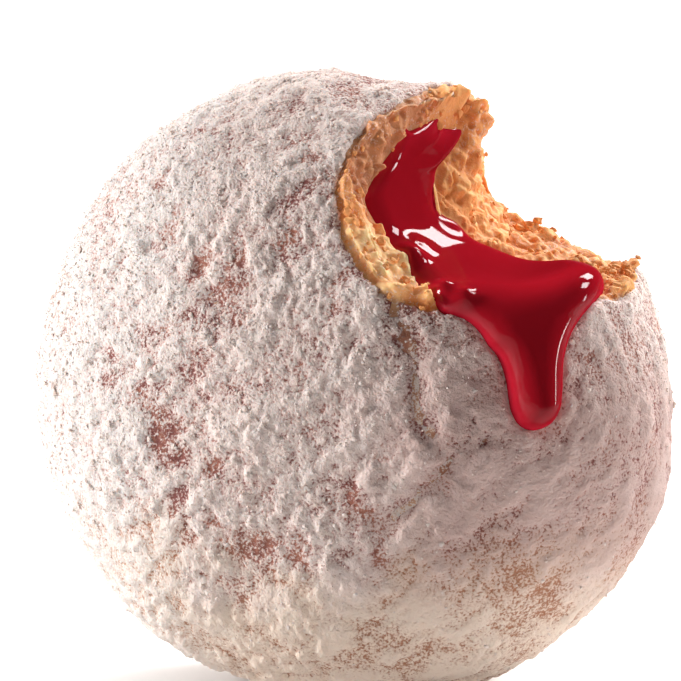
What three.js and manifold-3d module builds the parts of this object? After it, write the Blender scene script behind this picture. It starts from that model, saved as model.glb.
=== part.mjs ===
// Jelly filled doughnut with one bite taken out of it, standing on its rim.
// Millimetres, +Z up, the floor is z = 0 and the broad face looks toward -Y.
//
// Two solids: the fried dough with its bite and its pocket, and the jelly that
// fills the pocket, lies in the bite and runs down the front in one drip.

import * as THREE from 'three';
import { mergeVertices } from 'three/addons/utils/BufferGeometryUtils.js';
import Module from 'manifold-3d';

// ---------------------------------------------------------------- driving sizes

// Dough ball: a thick, slightly oval disc.
const RADIUS = 43.75;            // half of the mean width across the broad face
const FRONT_DEPTH = 31;          // from the middle plane to the front face
const BACK_DEPTH = 30;           // from the middle plane to the back face
const ROUNDNESS = 2.3;           // exponent of the outline, 2 is an ellipsoid
const OVAL = { size: 0.0383, turn: -35.4 };       // two-sided swelling of the outline
const THREE_SIDED = { size: 0.0177, turn: -10.3 }; // three-sided swelling of the outline
const MIDDLE = { x: -0.23, y: 1.39, z: 41.2 };    // of the ball, lower than its radius
const YAW = 18;                  // the broad face is turned this far to the left, degrees
const PITCH = 12;                // and leans back this far, degrees

// Gentle waves all over the skin.
const WAVE_COUNT = 7;
const WAVE_HEIGHT = 0.14;
const LONGEST_WAVE = 34;
const SHORTEST_WAVE = 15;

// The bite: three tooth scoops through the thickness. Each is a round channel whose
// middle and radius change from a plane near the front face to one near the back
// face. across and up are measured from the ball's middle in its own plane, and the
// channel opens outward in the direction "opens" (degrees from across toward up).
const NEAR_PLANE = 26;
const FAR_PLANE = -20;
const SCOOPS = [
  {
    near: { across: 25.4, up: 29.2, radius: 19.8 },
    far: { across: 26.6, up: 34.3, radius: 7.5 },
    opens: 15,
  },
  {
    near: { across: 32.1, up: 24.8, radius: 17.0 },
    far: { across: 23.7, up: 36.2, radius: 10.7 },
    opens: 40,
  },
  {
    near: { across: 44.8, up: 23.7, radius: 14.9 },
    far: { across: 30.3, up: 33.5, radius: 11.3 },
    opens: 20,
  },
];
const SCOOP_BLEND = 1.2;         // how softly two scoops run into each other

// The heart is the point inside the jelly from which all shapes are measured. A place
// on the surface is named by its bearing from the heart in degrees: forward is toward
// the front face and sideways runs down along the bite, both from the bite's middle.
const HEART = { across: -10, up: -8, depth: 2 };
const BITE_ANGLE = 49;           // the bite's middle, from across toward up
const BITE_LEAN = 14;            // and its lean toward the front face

// Swellings of the torn edge and lumps of crumb on the bite's wall.
const SKIN_SWELLINGS = [
  { forward: -17, sideways: -15.5, height: 3.0, radius: 7 },   // the torn flap at the top
  { forward: -29, sideways: 19.5, height: 2.0, radius: 6 },    // the tuft at the far end
];
const CRUMB_LUMPS = [
  { forward: -20, sideways: -12, height: 5.5, radius: 5 },     // the flap's thick tip
  { forward: -12, sideways: -2, height: 1.6, radius: 4 },
  { forward: 16, sideways: 3.5, height: 1.6, radius: 3 },
  { forward: -24, sideways: 0, height: 1.2, radius: 4 },
  { forward: -33, sideways: 8, height: 1.8, radius: 5.5 },
  { forward: -26, sideways: 19, height: 1.4, radius: 4 },
];

// The pocket that the jelly fills.
// Its mouth in the bite, as degrees from the bite's middle at each turn around it,
// where 0 is toward the front face and 90 is down along the bite.
const MOUTH = [
  { turn: -135, radius: 16.8 },
  { turn: -120, radius: 15.8 },
  { turn: -105, radius: 15.2 },
  { turn: -90, radius: 15.3 },
  { turn: -70, radius: 15.8 },
  { turn: -35, radius: 16.6 },
  { turn: 0, radius: 14.8 },
  { turn: 45, radius: 13.4 },
  { turn: 90, radius: 13.2 },
  { turn: 135, radius: 13.0 },
  { turn: 175, radius: 11.4 },
  { turn: 205, radius: 9.6 },
  { turn: 215, radius: 11.0 },
  { turn: 225, radius: 16.8 },
];
const POCKET_RADIUS = { across: 17, up: 17, depth: 9.5 };
const POCKET_NECK = 26;          // degrees over which the mouth narrows to the pocket
const NECK_STEEPNESS = 2;        // reach to draw in for each millimetre off the neck's wall
const GAP = 0.3;                 // clear space between dough and jelly
const CORE_GAP = 0.48;           // and between the pocket's wall and the jelly in it
const CORE_LID_RINGS = [0.5, 0.94]; // where the core's lid has rings, in shares of the mouth

// The jelly's outline on the dough, from its top tip down to the end of the drip.
// sideways is the bearing along the bite, front and back the two edges.
const JELLY_OUTLINE = [
  { sideways: -16.5, front: -1.0, back: -7.0 },
  { sideways: -15.0, front: 5.0, back: -12.5 },
  { sideways: -12.0, front: 13.5, back: -16.0 },
  { sideways: -8.0, front: 16.8, back: -10.5 },
  { sideways: -3.5, front: 17.0, back: -10.5 },
  { sideways: 1.3, front: 16.4, back: -13.0 },
  { sideways: 5.8, front: 17.4, back: -17.5 },
  { sideways: 12.9, front: 22.5, back: -17.0 },
  { sideways: 17.5, front: 23.8, back: -16.5 },
  { sideways: 21.0, front: 22.0, back: -13.0 },
  { sideways: 24.0, front: 21.0, back: -5.5 },
  { sideways: 26.5, front: 20.6, back: 3.5 },
  { sideways: 29.0, front: 20.1, back: 8.3 },
  { sideways: 32.5, front: 20.3, back: 11.3 },
  { sideways: 37.1, front: 21.1, back: 13.6 },
  { sideways: 40.5, front: 20.8, back: 15.4 },
  { sideways: 42.2, front: 18.9, back: 17.9 },
];
// Thickness of the jelly over the dough along the same way.
const JELLY_DEPTH = [
  { sideways: -16.5, rise: 1.1, sink: 1.6 },
  { sideways: -12, rise: 0.6, sink: 2.0 },
  { sideways: -4, rise: -0.5, sink: 2.4 },
  { sideways: 3, rise: 0.5, sink: 1.6 },
  { sideways: 10, rise: 1.4, sink: 0.8 },
  { sideways: 20, rise: 2.2, sink: 0.7 },
  { sideways: 28, rise: 3.4, sink: 0.7 },
  { sideways: 42, rise: 4.4, sink: 0.7 },
];
const FRONT_EDGE = 3.6;          // width of the rounded edge toward the front
const BACK_EDGE = 7;             // and of the flatter one behind
const END_EDGE = 4.5;            // degrees along the way over which the two ends round off
const JELLY_BACKING = 1.5;       // how far the sheet reaches into what it covers
const RIM_SOFTENING = 3.5;       // the jelly rounds the bite's rim in this curve

// Number of steps of the grids.
const AROUND = 64;
const SKIN_STEPS = 22;
const WALL_STEPS = 6;
const POCKET_STEPS = 9;
const FLOW_STEPS = 40;
const FLOW_ACROSS = 12;

// ---------------------------------------------------------------- the frame

const rad = THREE.MathUtils.degToRad;
const deg = THREE.MathUtils.radToDeg;
const yaw = rad(YAW);
const pitch = rad(PITCH);
const centre = new THREE.Vector3(MIDDLE.x, MIDDLE.y, MIDDLE.z);
const acrossAxis = new THREE.Vector3(Math.cos(yaw), -Math.sin(yaw), 0);
const depthAxis = new THREE.Vector3(
  -Math.sin(yaw) * Math.cos(pitch),
  -Math.cos(yaw) * Math.cos(pitch),
  Math.sin(pitch),
);
const upAxis = new THREE.Vector3().crossVectors(depthAxis, acrossAxis);

const heart = centre.clone()
  .addScaledVector(acrossAxis, HEART.across)
  .addScaledVector(upAxis, HEART.up)
  .addScaledVector(depthAxis, HEART.depth);
const biteAxis = new THREE.Vector3()
  .addScaledVector(acrossAxis, Math.cos(rad(BITE_ANGLE)) * Math.cos(rad(BITE_LEAN)))
  .addScaledVector(upAxis, Math.sin(rad(BITE_ANGLE)) * Math.cos(rad(BITE_LEAN)))
  .addScaledVector(depthAxis, Math.sin(rad(BITE_LEAN)));
const forwardAxis = depthAxis.clone().addScaledVector(biteAxis, -depthAxis.dot(biteAxis)).normalize();
const sidewaysAxis = new THREE.Vector3().crossVectors(biteAxis, forwardAxis);

// Direction from the heart at an angle from the bite's axis and a turn around it.
function direction(angle, turn) {
  return biteAxis.clone().multiplyScalar(Math.cos(angle))
    .addScaledVector(forwardAxis, Math.sin(angle) * Math.cos(turn))
    .addScaledVector(sidewaysAxis, Math.sin(angle) * Math.sin(turn));
}

// Direction of a bearing in degrees.
function bearingDirection(forward, sideways) {
  return direction(rad(Math.hypot(forward, sideways)), Math.atan2(sideways, forward));
}

// ---------------------------------------------------------------- the two shapes

const smoothMin = (a, b, blend) => {
  const h = THREE.MathUtils.clamp(0.5 + (0.5 * (b - a)) / blend, 0, 1);
  return b * (1 - h) + a * h - blend * h * (1 - h);
};

const mix = (a, b, part) => a + (b - a) * part;

const smoothStep = (part) => {
  const t = THREE.MathUtils.clamp(part, 0, 1);
  return t * t * (3 - 2 * t);
};

// Cubic curve through a list of places: the value of one key at any other key.
function curveOf(list, along, key) {
  const points = list.map((entry) => new THREE.Vector2(entry[along], entry[key]));
  return (at) => {
    const found = points.findIndex((point, i) => i > 0 && point.x >= at);
    const i = found < 0 ? points.length - 1 : found;
    const a = points[i - 1];
    const b = points[i];
    const before = points[Math.max(i - 2, 0)];
    const after = points[Math.min(i + 1, points.length - 1)];
    const part = THREE.MathUtils.clamp((at - a.x) / (b.x - a.x), 0, 1);
    const slopeA = ((b.y - before.y) / (b.x - before.x)) * (b.x - a.x);
    const slopeB = ((after.y - a.y) / (after.x - a.x)) * (b.x - a.x);
    const p2 = part * part;
    const p3 = p2 * part;
    return a.y * (2 * p3 - 3 * p2 + 1) + slopeA * (p3 - 2 * p2 + part)
      + b.y * (3 * p2 - 2 * p3) + slopeB * (p3 - p2);
  };
}

// A point in the ball's own axes, from its middle.
function ballPlace(point) {
  const fromCentre = point.clone().sub(centre);
  return {
    across: fromCentre.dot(acrossAxis),
    up: fromCentre.dot(upAxis),
    depth: fromCentre.dot(depthAxis),
  };
}

// About the distance from the skin of the plain ball, negative inside it.
function ballDistance(point) {
  const { across, up, depth } = ballPlace(point);
  const turn = Math.atan2(up, across);
  const outline = 1 + OVAL.size * Math.cos(2 * (turn - rad(OVAL.turn)))
    + THREE_SIDED.size * Math.cos(3 * (turn - rad(THREE_SIDED.turn)));
  const inPlane = Math.hypot(across, up) / (RADIUS * outline);
  const throughDepth = Math.abs(depth) / (depth > 0 ? FRONT_DEPTH : BACK_DEPTH);
  const size = (inPlane ** ROUNDNESS + throughDepth ** ROUNDNESS) ** (1 / ROUNDNESS);
  return (size - 1) * BACK_DEPTH;
}

// Distance from the wall of the bite, negative in the space bitten away.
function biteDistance(point) {
  const { across, up, depth } = ballPlace(point);
  const part = (NEAR_PLANE - depth) / (NEAR_PLANE - FAR_PLANE);
  let nearest = Infinity;
  for (const { near, far, opens } of SCOOPS) {
    const x = across - mix(near.across, far.across, part);
    const y = up - mix(near.up, far.up, part);
    const c = Math.cos(rad(opens));
    const s = Math.sin(rad(opens));
    const outward = Math.max(x * c + y * s, 0);
    const distance = Math.hypot(x - outward * c, y - outward * s) - mix(near.radius, far.radius, part);
    nearest = nearest === Infinity ? distance : smoothMin(nearest, distance, SCOOP_BLEND);
  }
  return nearest;
}

// Sum of soft round hills at the given bearings.
function hills(list, aim) {
  let height = 0;
  for (const hill of list) {
    const angle = deg(aim.angleTo(bearingDirection(hill.forward, hill.sideways)));
    height += hill.height * Math.exp(-((angle / hill.radius) ** 2));
  }
  return height;
}

// Waves whose directions are spread evenly over the sphere by the golden angle.
const goldenAngle = Math.PI * (3 - Math.sqrt(5));
const waves = Array.from({ length: WAVE_COUNT }, (_, i) => {
  const z = 1 - (2 * i + 1) / WAVE_COUNT;
  const flat = Math.sqrt(1 - z * z);
  const length = mix(LONGEST_WAVE, SHORTEST_WAVE, i / (WAVE_COUNT - 1));
  return {
    number: new THREE.Vector3(flat * Math.cos(i * goldenAngle), flat * Math.sin(i * goldenAngle), z)
      .multiplyScalar((2 * Math.PI) / length),
    phase: i * goldenAngle,
  };
});
function waveHeight(point) {
  const from = point.clone().sub(centre);
  const heights = waves.map((wave) => Math.sin(wave.number.dot(from) + wave.phase));
  return WAVE_HEIGHT * heights.reduce((sum, height) => sum + height, 0);
}

// Distance from the heart to the skin, moved outward by an offset.
function skinReach(aim, offset = 0) {
  let inside = 0;
  let outside = 2 * RADIUS;
  for (let step = 0; step < 26; step += 1) {
    const middle = (inside + outside) / 2;
    if (ballDistance(heart.clone().addScaledVector(aim, middle)) < offset) inside = middle;
    else outside = middle;
  }
  const skin = heart.clone().addScaledVector(aim, inside);
  return inside + waveHeight(skin) + hills(SKIN_SWELLINGS, aim);
}

// Distance from the heart to the wall of the bite, moved into the bite by an offset.
// A direction that misses the bite gets a reach beyond the skin.
function wallReach(aim, offset = 0) {
  const coarse = 1.5;
  let reach = 0;
  while (reach < 2 * RADIUS && biteDistance(heart.clone().addScaledVector(aim, reach)) > -offset) {
    reach += coarse;
  }
  if (reach >= 2 * RADIUS) return reach;
  let outside = reach;
  let inside = reach - coarse;
  for (let step = 0; step < 18; step += 1) {
    const middle = (inside + outside) / 2;
    if (biteDistance(heart.clone().addScaledVector(aim, middle)) > -offset) inside = middle;
    else outside = middle;
  }
  return inside + hills(CRUMB_LUMPS, aim);
}

// Distance from the heart to whichever of the two comes first.
const outsideReach = (aim, offset = 0) => Math.min(skinReach(aim, offset), wallReach(aim, offset));

// Angle from the bite's axis at which the wall meets the skin.
function rimAngle(turn, offset) {
  let inside = 0;
  let outside = rad(75);
  for (let step = 0; step < 20; step += 1) {
    const middle = (inside + outside) / 2;
    const aim = direction(middle, turn);
    if (wallReach(aim, offset) < skinReach(aim, offset)) inside = middle;
    else outside = middle;
  }
  return inside;
}

// Angle from the bite's axis to the edge of the jelly's mouth, drawn in by an offset.
const mouthRadius = curveOf(MOUTH, 'turn', 'radius');
function mouthAngle(turn, offset = 0) {
  const first = MOUTH[0].turn;
  const around = first + ((deg(turn) - first + 720) % 360);
  return rad(mouthRadius(around)) - offset / BACK_DEPTH;
}

// Distance from the heart to the wall of the pocket behind its mouth, drawn in by an
// offset: an ellipsoid that widens to the mouth along a steep neck.
function pocketReach(angle, turn, offset = 0) {
  const aim = direction(angle, turn);
  const ellipsoid = 1 / Math.hypot(
    aim.dot(acrossAxis) / POCKET_RADIUS.across,
    aim.dot(upAxis) / POCKET_RADIUS.up,
    aim.dot(depthAxis) / POCKET_RADIUS.depth,
  );
  const mouth = mouthAngle(turn);
  const alongNeck = Math.sqrt(smoothStep((angle - mouth) / rad(POCKET_NECK)));
  return mix(outsideReach(direction(mouth, turn)), ellipsoid, alongNeck) - NECK_STEEPNESS * offset;
}

// ---------------------------------------------------------------- building solids

const wasm = await Module();
wasm.setup();

// Closed body of rings between two end points.
function ringBody(start, rings, end) {
  const around = rings[0].length;
  const points = [start, ...rings.flat(), end];
  const last = points.length - 1;
  const triangles = [];
  for (let i = 0; i < around; i += 1) {
    const next = (i + 1) % around;
    triangles.push(0, 1 + i, 1 + next);
    for (let ring = 0; ring + 1 < rings.length; ring += 1) {
      const a = 1 + ring * around;
      const b = a + around;
      triangles.push(a + i, b + i, b + next, a + i, b + next, a + next);
    }
    const tail = 1 + (rings.length - 1) * around;
    triangles.push(tail + i, last, tail + next);
  }
  const geometry = new THREE.BufferGeometry();
  const places = points.flatMap((p) => p.toArray());
  geometry.setAttribute('position', new THREE.Float32BufferAttribute(places, 3));
  geometry.setIndex(triangles);
  return geometry;
}

function toManifold(geometry) {
  const bare = geometry.clone();
  bare.deleteAttribute('normal');
  bare.deleteAttribute('uv');
  const merged = mergeVertices(bare, 1e-4);
  return new wasm.Manifold(new wasm.Mesh({
    numProp: 3,
    vertProperties: new Float32Array(merged.attributes.position.array),
    triVerts: new Uint32Array(merged.index.array),
  }));
}

function toGeometry(manifold) {
  const mesh = manifold.getMesh();
  const geometry = new THREE.BufferGeometry();
  const positions = new Float32Array(mesh.vertProperties);
  geometry.setAttribute('position', new THREE.BufferAttribute(positions, 3));
  geometry.setIndex(new THREE.BufferAttribute(new Uint32Array(mesh.triVerts), 1));
  geometry.computeVertexNormals();
  return geometry;
}

const turns = Array.from({ length: AROUND }, (_, i) => (i / AROUND) * 2 * Math.PI);
const place = (aim, reach) => heart.clone().addScaledVector(aim, reach);

// The dough as rings: from the pole at the back of the pocket out to its mouth, along
// the wall of the bite to the rim, and over the skin to the pole behind it.
function doughBody(offset) {
  const rims = turns.map((turn) => rimAngle(turn, offset));
  const rings = [];
  for (let step = 1; step < POCKET_STEPS; step += 1) {
    rings.push(turns.map((turn) => {
      const angle = mix(Math.PI, mouthAngle(turn, offset), step / POCKET_STEPS);
      return place(direction(angle, turn), pocketReach(angle, turn, offset));
    }));
  }
  for (let step = 0; step <= WALL_STEPS; step += 1) {
    rings.push(turns.map((turn, i) => {
      const angle = mix(mouthAngle(turn, offset), rims[i], step / WALL_STEPS);
      const aim = direction(angle, turn);
      return place(aim, step < WALL_STEPS ? outsideReach(aim, offset) : skinReach(aim, offset));
    }));
  }
  for (let step = 1; step < SKIN_STEPS; step += 1) {
    rings.push(turns.map((turn, i) => {
      const aim = direction(mix(rims[i], Math.PI, step / SKIN_STEPS), turn);
      return place(aim, skinReach(aim, offset));
    }));
  }
  const back = direction(Math.PI, 0);
  const deepest = place(back, pocketReach(Math.PI, 0, offset));
  const rearmost = place(back, skinReach(back, offset));
  return ringBody(deepest, rings, rearmost);
}

const frontEdge = curveOf(JELLY_OUTLINE, 'sideways', 'front');
const backEdge = curveOf(JELLY_OUTLINE, 'sideways', 'back');
const rise = curveOf(JELLY_DEPTH, 'sideways', 'rise');
const sink = curveOf(JELLY_DEPTH, 'sideways', 'sink');

// Surface that the jelly lies on: skin and bite with the rim between them rounded.
function bedPoint(forward, sideways) {
  const aim = bearingDirection(forward, sideways);
  return place(aim, smoothMin(skinReach(aim), wallReach(aim), RIM_SOFTENING));
}

// Outward direction of that surface, from four points around the place.
function bedNormal(forward, sideways) {
  const h = 0.6;
  const f = bedPoint(forward + h, sideways).sub(bedPoint(forward - h, sideways));
  const s = bedPoint(forward, sideways + h).sub(bedPoint(forward, sideways - h));
  return f.cross(s).normalize();
}

// The sheet of jelly: at each step along its way a closed loop, out over the top of
// the sheet from the front edge to the back edge and back along its underside.
function flowBody() {
  const first = JELLY_OUTLINE[0].sideways;
  const last = JELLY_OUTLINE.at(-1).sideways;
  const rings = [];
  for (let step = 0; step <= FLOW_STEPS; step += 1) {
    const sideways = mix(first, last, step / FLOW_STEPS);
    const back = backEdge(sideways);
    const front = frontEdge(sideways);
    const width = bedPoint(back, sideways).distanceTo(bedPoint(front, sideways));
    const shortOfEnd = 1 - Math.min(sideways - first, last - sideways, END_EDGE) / END_EDGE;
    const over = [];
    const under = [];
    for (let i = 0; i <= FLOW_ACROSS; i += 1) {
      const across = 0.5 - 0.5 * Math.cos((i / FLOW_ACROSS) * Math.PI);
      const forward = mix(front, back, across);
      const shortOfFront = 1 - Math.min((across * width) / Math.min(FRONT_EDGE, width / 2), 1);
      const shortOfBack = 1 - Math.min(((1 - across) * width) / Math.min(BACK_EDGE, width / 2), 1);
      const shortOfSide = Math.max(shortOfFront, shortOfBack);
      const dome = Math.sqrt(Math.max(1 - shortOfSide ** 2 - shortOfEnd ** 2, 0));
      const height = (rise(sideways) + sink(sideways)) * dome - sink(sideways);
      const bed = bedPoint(forward, sideways);
      const normal = bedNormal(forward, sideways);
      over.push(bed.clone().addScaledVector(normal, height));
      if (i > 0 && i < FLOW_ACROSS) {
        const depth = Math.min(height, 0) - JELLY_BACKING * (0.2 + dome);
        under.unshift(bed.clone().addScaledVector(normal, depth));
      }
    }
    rings.push([...over, ...under]);
  }
  const sumOf = (ring) => ring.reduce((sum, p) => sum.add(p), new THREE.Vector3());
  const middleOf = (ring) => sumOf(ring).divideScalar(ring.length);
  return ringBody(middleOf(rings[0]), rings, middleOf(rings.at(-1)));
}

// The jelly inside the pocket: from just under the sheet down to its back.
function coreBody() {
  const rings = CORE_LID_RINGS.map((part) => turns.map((turn) => {
    const aim = direction(mouthAngle(turn) * part, turn);
    return place(aim, outsideReach(aim) - JELLY_BACKING);
  }));
  for (let step = 0; step < POCKET_STEPS; step += 1) {
    rings.push(turns.map((turn) => {
      const angle = mix(mouthAngle(turn), Math.PI, step / POCKET_STEPS);
      return place(direction(angle, turn), pocketReach(angle, turn, CORE_GAP));
    }));
  }
  const top = direction(0, 0);
  const back = direction(Math.PI, 0);
  return ringBody(
    place(top, outsideReach(top) - JELLY_BACKING),
    rings,
    place(back, pocketReach(Math.PI, 0, CORE_GAP)),
  );
}

// ---------------------------------------------------------------- the two pieces

// Everything under the floor is cut off, which leaves the flat spot to stand on.
const floorDepth = 20;
const underFloor = new THREE.BoxGeometry(4 * RADIUS, 4 * RADIUS, floorDepth);
underFloor.translate(0, 0, -floorDepth / 2);

const doughSolid = toManifold(doughBody(0)).subtract(toManifold(underFloor));
const wholeJelly = toManifold(flowBody()).add(toManifold(coreBody()));
const jellySolid = wholeJelly.subtract(toManifold(doughBody(GAP)));

const dough = new THREE.Mesh(
  toGeometry(doughSolid),
  new THREE.MeshStandardMaterial({ color: 0xd9c3b4, roughness: 0.92, metalness: 0 }),
);
dough.name = 'dough';

const jelly = new THREE.Mesh(
  toGeometry(jellySolid),
  new THREE.MeshStandardMaterial({ color: 0x8c0a18, roughness: 0.08, metalness: 0 }),
);
jelly.name = 'jelly';

const doughnut = new THREE.Group();
doughnut.name = 'jelly_doughnut';
doughnut.add(dough, jelly);

export default doughnut;
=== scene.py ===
"""A jelly filled doughnut, dusted with powdered sugar, with one bite out of it.

The doughnut stands on its rim. Its dough, sugar coat, sugar lumps, sugar grains, crumbs and jelly
are meshes worked out with numpy. Lengths in the functions are millimetres, and a mesh is written
in metres. Every place on the doughnut is found from its heart, a point inside the jelly, by the
angle from the bite's axis and the turn around it.
"""

import itertools
import math

import bpy
import numpy as np
from bpy.props import FloatProperty, FloatVectorProperty, IntProperty, PointerProperty
from mathutils import Matrix, Vector


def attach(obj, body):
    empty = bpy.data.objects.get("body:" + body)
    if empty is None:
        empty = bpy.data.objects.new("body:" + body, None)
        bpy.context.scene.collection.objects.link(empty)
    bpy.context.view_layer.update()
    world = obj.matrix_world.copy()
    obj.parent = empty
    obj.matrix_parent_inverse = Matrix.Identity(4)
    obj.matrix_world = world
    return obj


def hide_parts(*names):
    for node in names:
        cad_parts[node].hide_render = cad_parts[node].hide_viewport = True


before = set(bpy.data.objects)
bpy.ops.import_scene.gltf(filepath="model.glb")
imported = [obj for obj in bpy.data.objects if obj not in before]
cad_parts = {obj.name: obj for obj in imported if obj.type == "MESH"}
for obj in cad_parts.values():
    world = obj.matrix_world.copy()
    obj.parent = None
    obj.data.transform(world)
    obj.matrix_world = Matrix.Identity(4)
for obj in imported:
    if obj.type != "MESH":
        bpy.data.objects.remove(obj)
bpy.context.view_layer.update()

bl_info = {
    "name": "Jelly Filled Doughnut",
    "version": (1, 0, 0),
    "blender": (4, 5, 0),
    "location": "3D View > Sidebar > Doughnut",
    "description": "Builds a bitten jelly filled doughnut around its solid frame",
    "category": "Add Mesh",
}

MM = 0.001                       # metres in a millimetre

# ---------------------------------------------------------------- sizes of the doughnut

# The dough: a thick, slightly oval disc.
RADIUS = 43.75
FRONT_DEPTH = 31.0
BACK_DEPTH = 30.0
ROUNDNESS = 2.3
OVAL_SIZE, OVAL_TURN = 0.0383, math.radians(-35.4)
THREE_SIDED_SIZE, THREE_SIDED_TURN = 0.0177, math.radians(-10.3)
MIDDLE = np.array([-0.23, 1.39, 41.2])
YAW = math.radians(18)
PITCH = math.radians(12)

# Gentle waves of the skin.
WAVE_COUNT = 7
WAVE_HEIGHT = 0.14
LONGEST_WAVE = 34.0
SHORTEST_WAVE = 15.0

# The bite's three tooth scoops: across, up and radius at two depths, and the angle at which
# each channel opens, in degrees.
NEAR_PLANE = 26.0
FAR_PLANE = -20.0
SCOOPS = (
    {"near": (25.4, 29.2, 19.8), "far": (26.6, 34.3, 7.5), "opens": 15},
    {"near": (32.1, 24.8, 17.0), "far": (23.7, 36.2, 10.7), "opens": 40},
    {"near": (44.8, 23.7, 14.9), "far": (30.3, 33.5, 11.3), "opens": 20},
)
SCOOP_BLEND = 1.2

# How a reach is searched for.
MARCH_STEP = 0.5
HALVINGS = 24
RIM_HALVINGS = 20
RIM_SAMPLES = 721
BITE_HALF_ANGLE = math.radians(80)   # no direction further from the bite's axis meets the bite
RIM_HALF_ANGLE = math.radians(75)    # and its rim lies within this angle

# The heart and the bite's axis, in the dough's own axes: across, up and depth.
HEART_OFFSET = (-10.0, -8.0, 2.0)
BITE_ANGLE = math.radians(49)
BITE_LEAN = math.radians(14)

# The torn band round the rim, where the crust has come off: millimetres wide at each turn. Noise
# (its size, layers, seed and gain) makes it wider or narrower by a share, and moves its edge.
TORN_TURNS = (0, 30, 60, 90, 150, 190, 204, 214, 226, 240, 250, 262, 275, 300, 330, 360)
TORN_WIDTHS = (0.9, 1.1, 0.9, 0.6, 0.6, 0.9, 2.0, 4.2, 4.8, 4.0, 2.6, 1.4, 0.9, 0.7, 0.7, 0.9)
TEAR_NOISE = (2.6, 3, 66, 0.7)
TEAR_RAGGEDNESS = 0.9
TEAR_WIDENING = 0.35
TEAR_SHIFT = 0.6

# Hills by bearing from the heart: forward and sideways degrees, height in millimetres and
# radius in degrees.
SKIN_SWELLINGS = ((-17, -15.5, 3.0, 7), (-29, 19.5, 2.0, 6))
CRUMB_LUMPS = (
    (-20, -12, 5.5, 5),
    (-12, -2, 1.6, 4),
    (16, 3.5, 1.6, 3),
    (-24, 0, 1.2, 4),
    (-33, 8, 1.8, 5.5),
    (-26, 19, 1.4, 4),
    (-21, 21, 1.6, 3),
)

# The jelly's mouth in the bite: degrees from the axis at each turn around it.
MOUTH_TURNS = (-135, -120, -105, -90, -70, -35, 0, 45, 90, 135, 175, 205, 215, 225)
MOUTH_RADII = (16.8, 15.8, 15.2, 15.3, 15.8, 16.6, 14.8, 13.4, 13.2, 13.0, 11.4, 9.6, 11.0, 16.8)
MOUTH_LIP = 0.8                  # the crumb ends at this share of the mouth, under the jelly
POCKET_RADIUS = (17.0, 17.0, 9.5)
POCKET_NECK = math.radians(26)   # the pocket reaches its full width this far behind the mouth
NECK_STEEPNESS = 2.0             # reach given up for each millimetre of clearance

# The jelly's outline by bearing: degrees sideways along the bite and down the drip, and the
# degrees forward of its front edge and of its back edge.
OUTLINE_ALONG = (-15.3, -14.9, -14.5, -13.9, -12.9, -11.9, -11.2, -9.8, -6.6, -3.2, 1.4, 5.8,
                 12.9, 17.5, 21, 24, 26.5, 29, 32.5, 37.1, 39.0, 40.1, 41.0, 41.5, 41.75)
OUTLINE_FRONT = (-0.8, 0.9, 2.4, 4.8, 8.0, 10.5, 12.3, 14.8, 15.2, 15.2, 16.8, 18.2,
                 22.3, 23.6, 21.6, 20.8, 20.6, 20.1, 20.3, 21.1, 20.9, 20.5, 19.8, 19.0, 18.3)
OUTLINE_BACK = (-2.6, -5.0, -10.4, -12.2, -14.7, -16.2, -12.6, -11.4, -9.2, -9.8, -12.0, -17.5,
                -17, -16.5, -13, -5.5, 3.5, 8.3, 11.3, 13.1, 13.9, 14.6, 15.4, 16.3, 17.2)
# How far the jelly rises over its bed and sinks into it, and how wide its rounded edges are.
DEPTH_ALONG = (-16.5, -12, -4, 3, 10, 20, 28, 42)
DEPTH_RISE = (1.1, 0.8, 0.1, 0.6, 1.4, 2.2, 3.4, 4.4)
DEPTH_SINK = (1.4, 1.5, 1.5, 1.2, 0.8, 0.7, 0.7, 0.7)
FRONT_EDGE = 3.6
BACK_EDGE = 7.0
END_EDGE = 3.4                   # in degrees
JELLY_SWELLINGS = ((21.6, 14.6, 0.9, 1.5), (20.6, 18.6, 0.8, 1.3), (9.0, 2.0, 0.5, 3.0))
JELLY_BACKING = 1.5
RIM_SOFTENING = 3.5              # the jelly lies over the bite's rim as if it were this round
OUTLINE_FADE = (-1.2, 0.4)       # degrees inside the outline between which its share rises

# ---------------------------------------------------------------- the frame of the shapes

ACROSS = np.array([math.cos(YAW), -math.sin(YAW), 0.0])
DEPTH = np.array([-math.sin(YAW) * math.cos(PITCH), -math.cos(YAW) * math.cos(PITCH), math.sin(PITCH)])
UP = np.cross(DEPTH, ACROSS)
HEART = MIDDLE + HEART_OFFSET[0] * ACROSS + HEART_OFFSET[1] * UP + HEART_OFFSET[2] * DEPTH
BITE = (math.cos(BITE_ANGLE) * math.cos(BITE_LEAN) * ACROSS
        + math.sin(BITE_ANGLE) * math.cos(BITE_LEAN) * UP
        + math.sin(BITE_LEAN) * DEPTH)
FORWARD = DEPTH - DEPTH.dot(BITE) * BITE
FORWARD /= np.linalg.norm(FORWARD)
SIDEWAYS = np.cross(BITE, FORWARD)


def unit(vectors):
    """Vectors over their lengths."""
    return vectors / np.maximum(np.linalg.norm(vectors, axis=-1, keepdims=True), 1e-9)


def direction(angle, turn):
    """cos(angle) times the bite's axis + sin(angle) times (cos(turn) forward + sin(turn) sideways)."""
    sine = np.sin(angle)
    return (np.cos(angle)[..., None] * BITE
            + (sine * np.cos(turn))[..., None] * FORWARD
            + (sine * np.sin(turn))[..., None] * SIDEWAYS)


def bearing_direction(forward, sideways):
    """Direction at the angle hypot(forward, sideways) and the turn atan2(sideways, forward)."""
    forward, sideways = np.broadcast_arrays(np.asarray(forward, float), np.asarray(sideways, float))
    return direction(np.radians(np.hypot(forward, sideways)), np.arctan2(sideways, forward))


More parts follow.
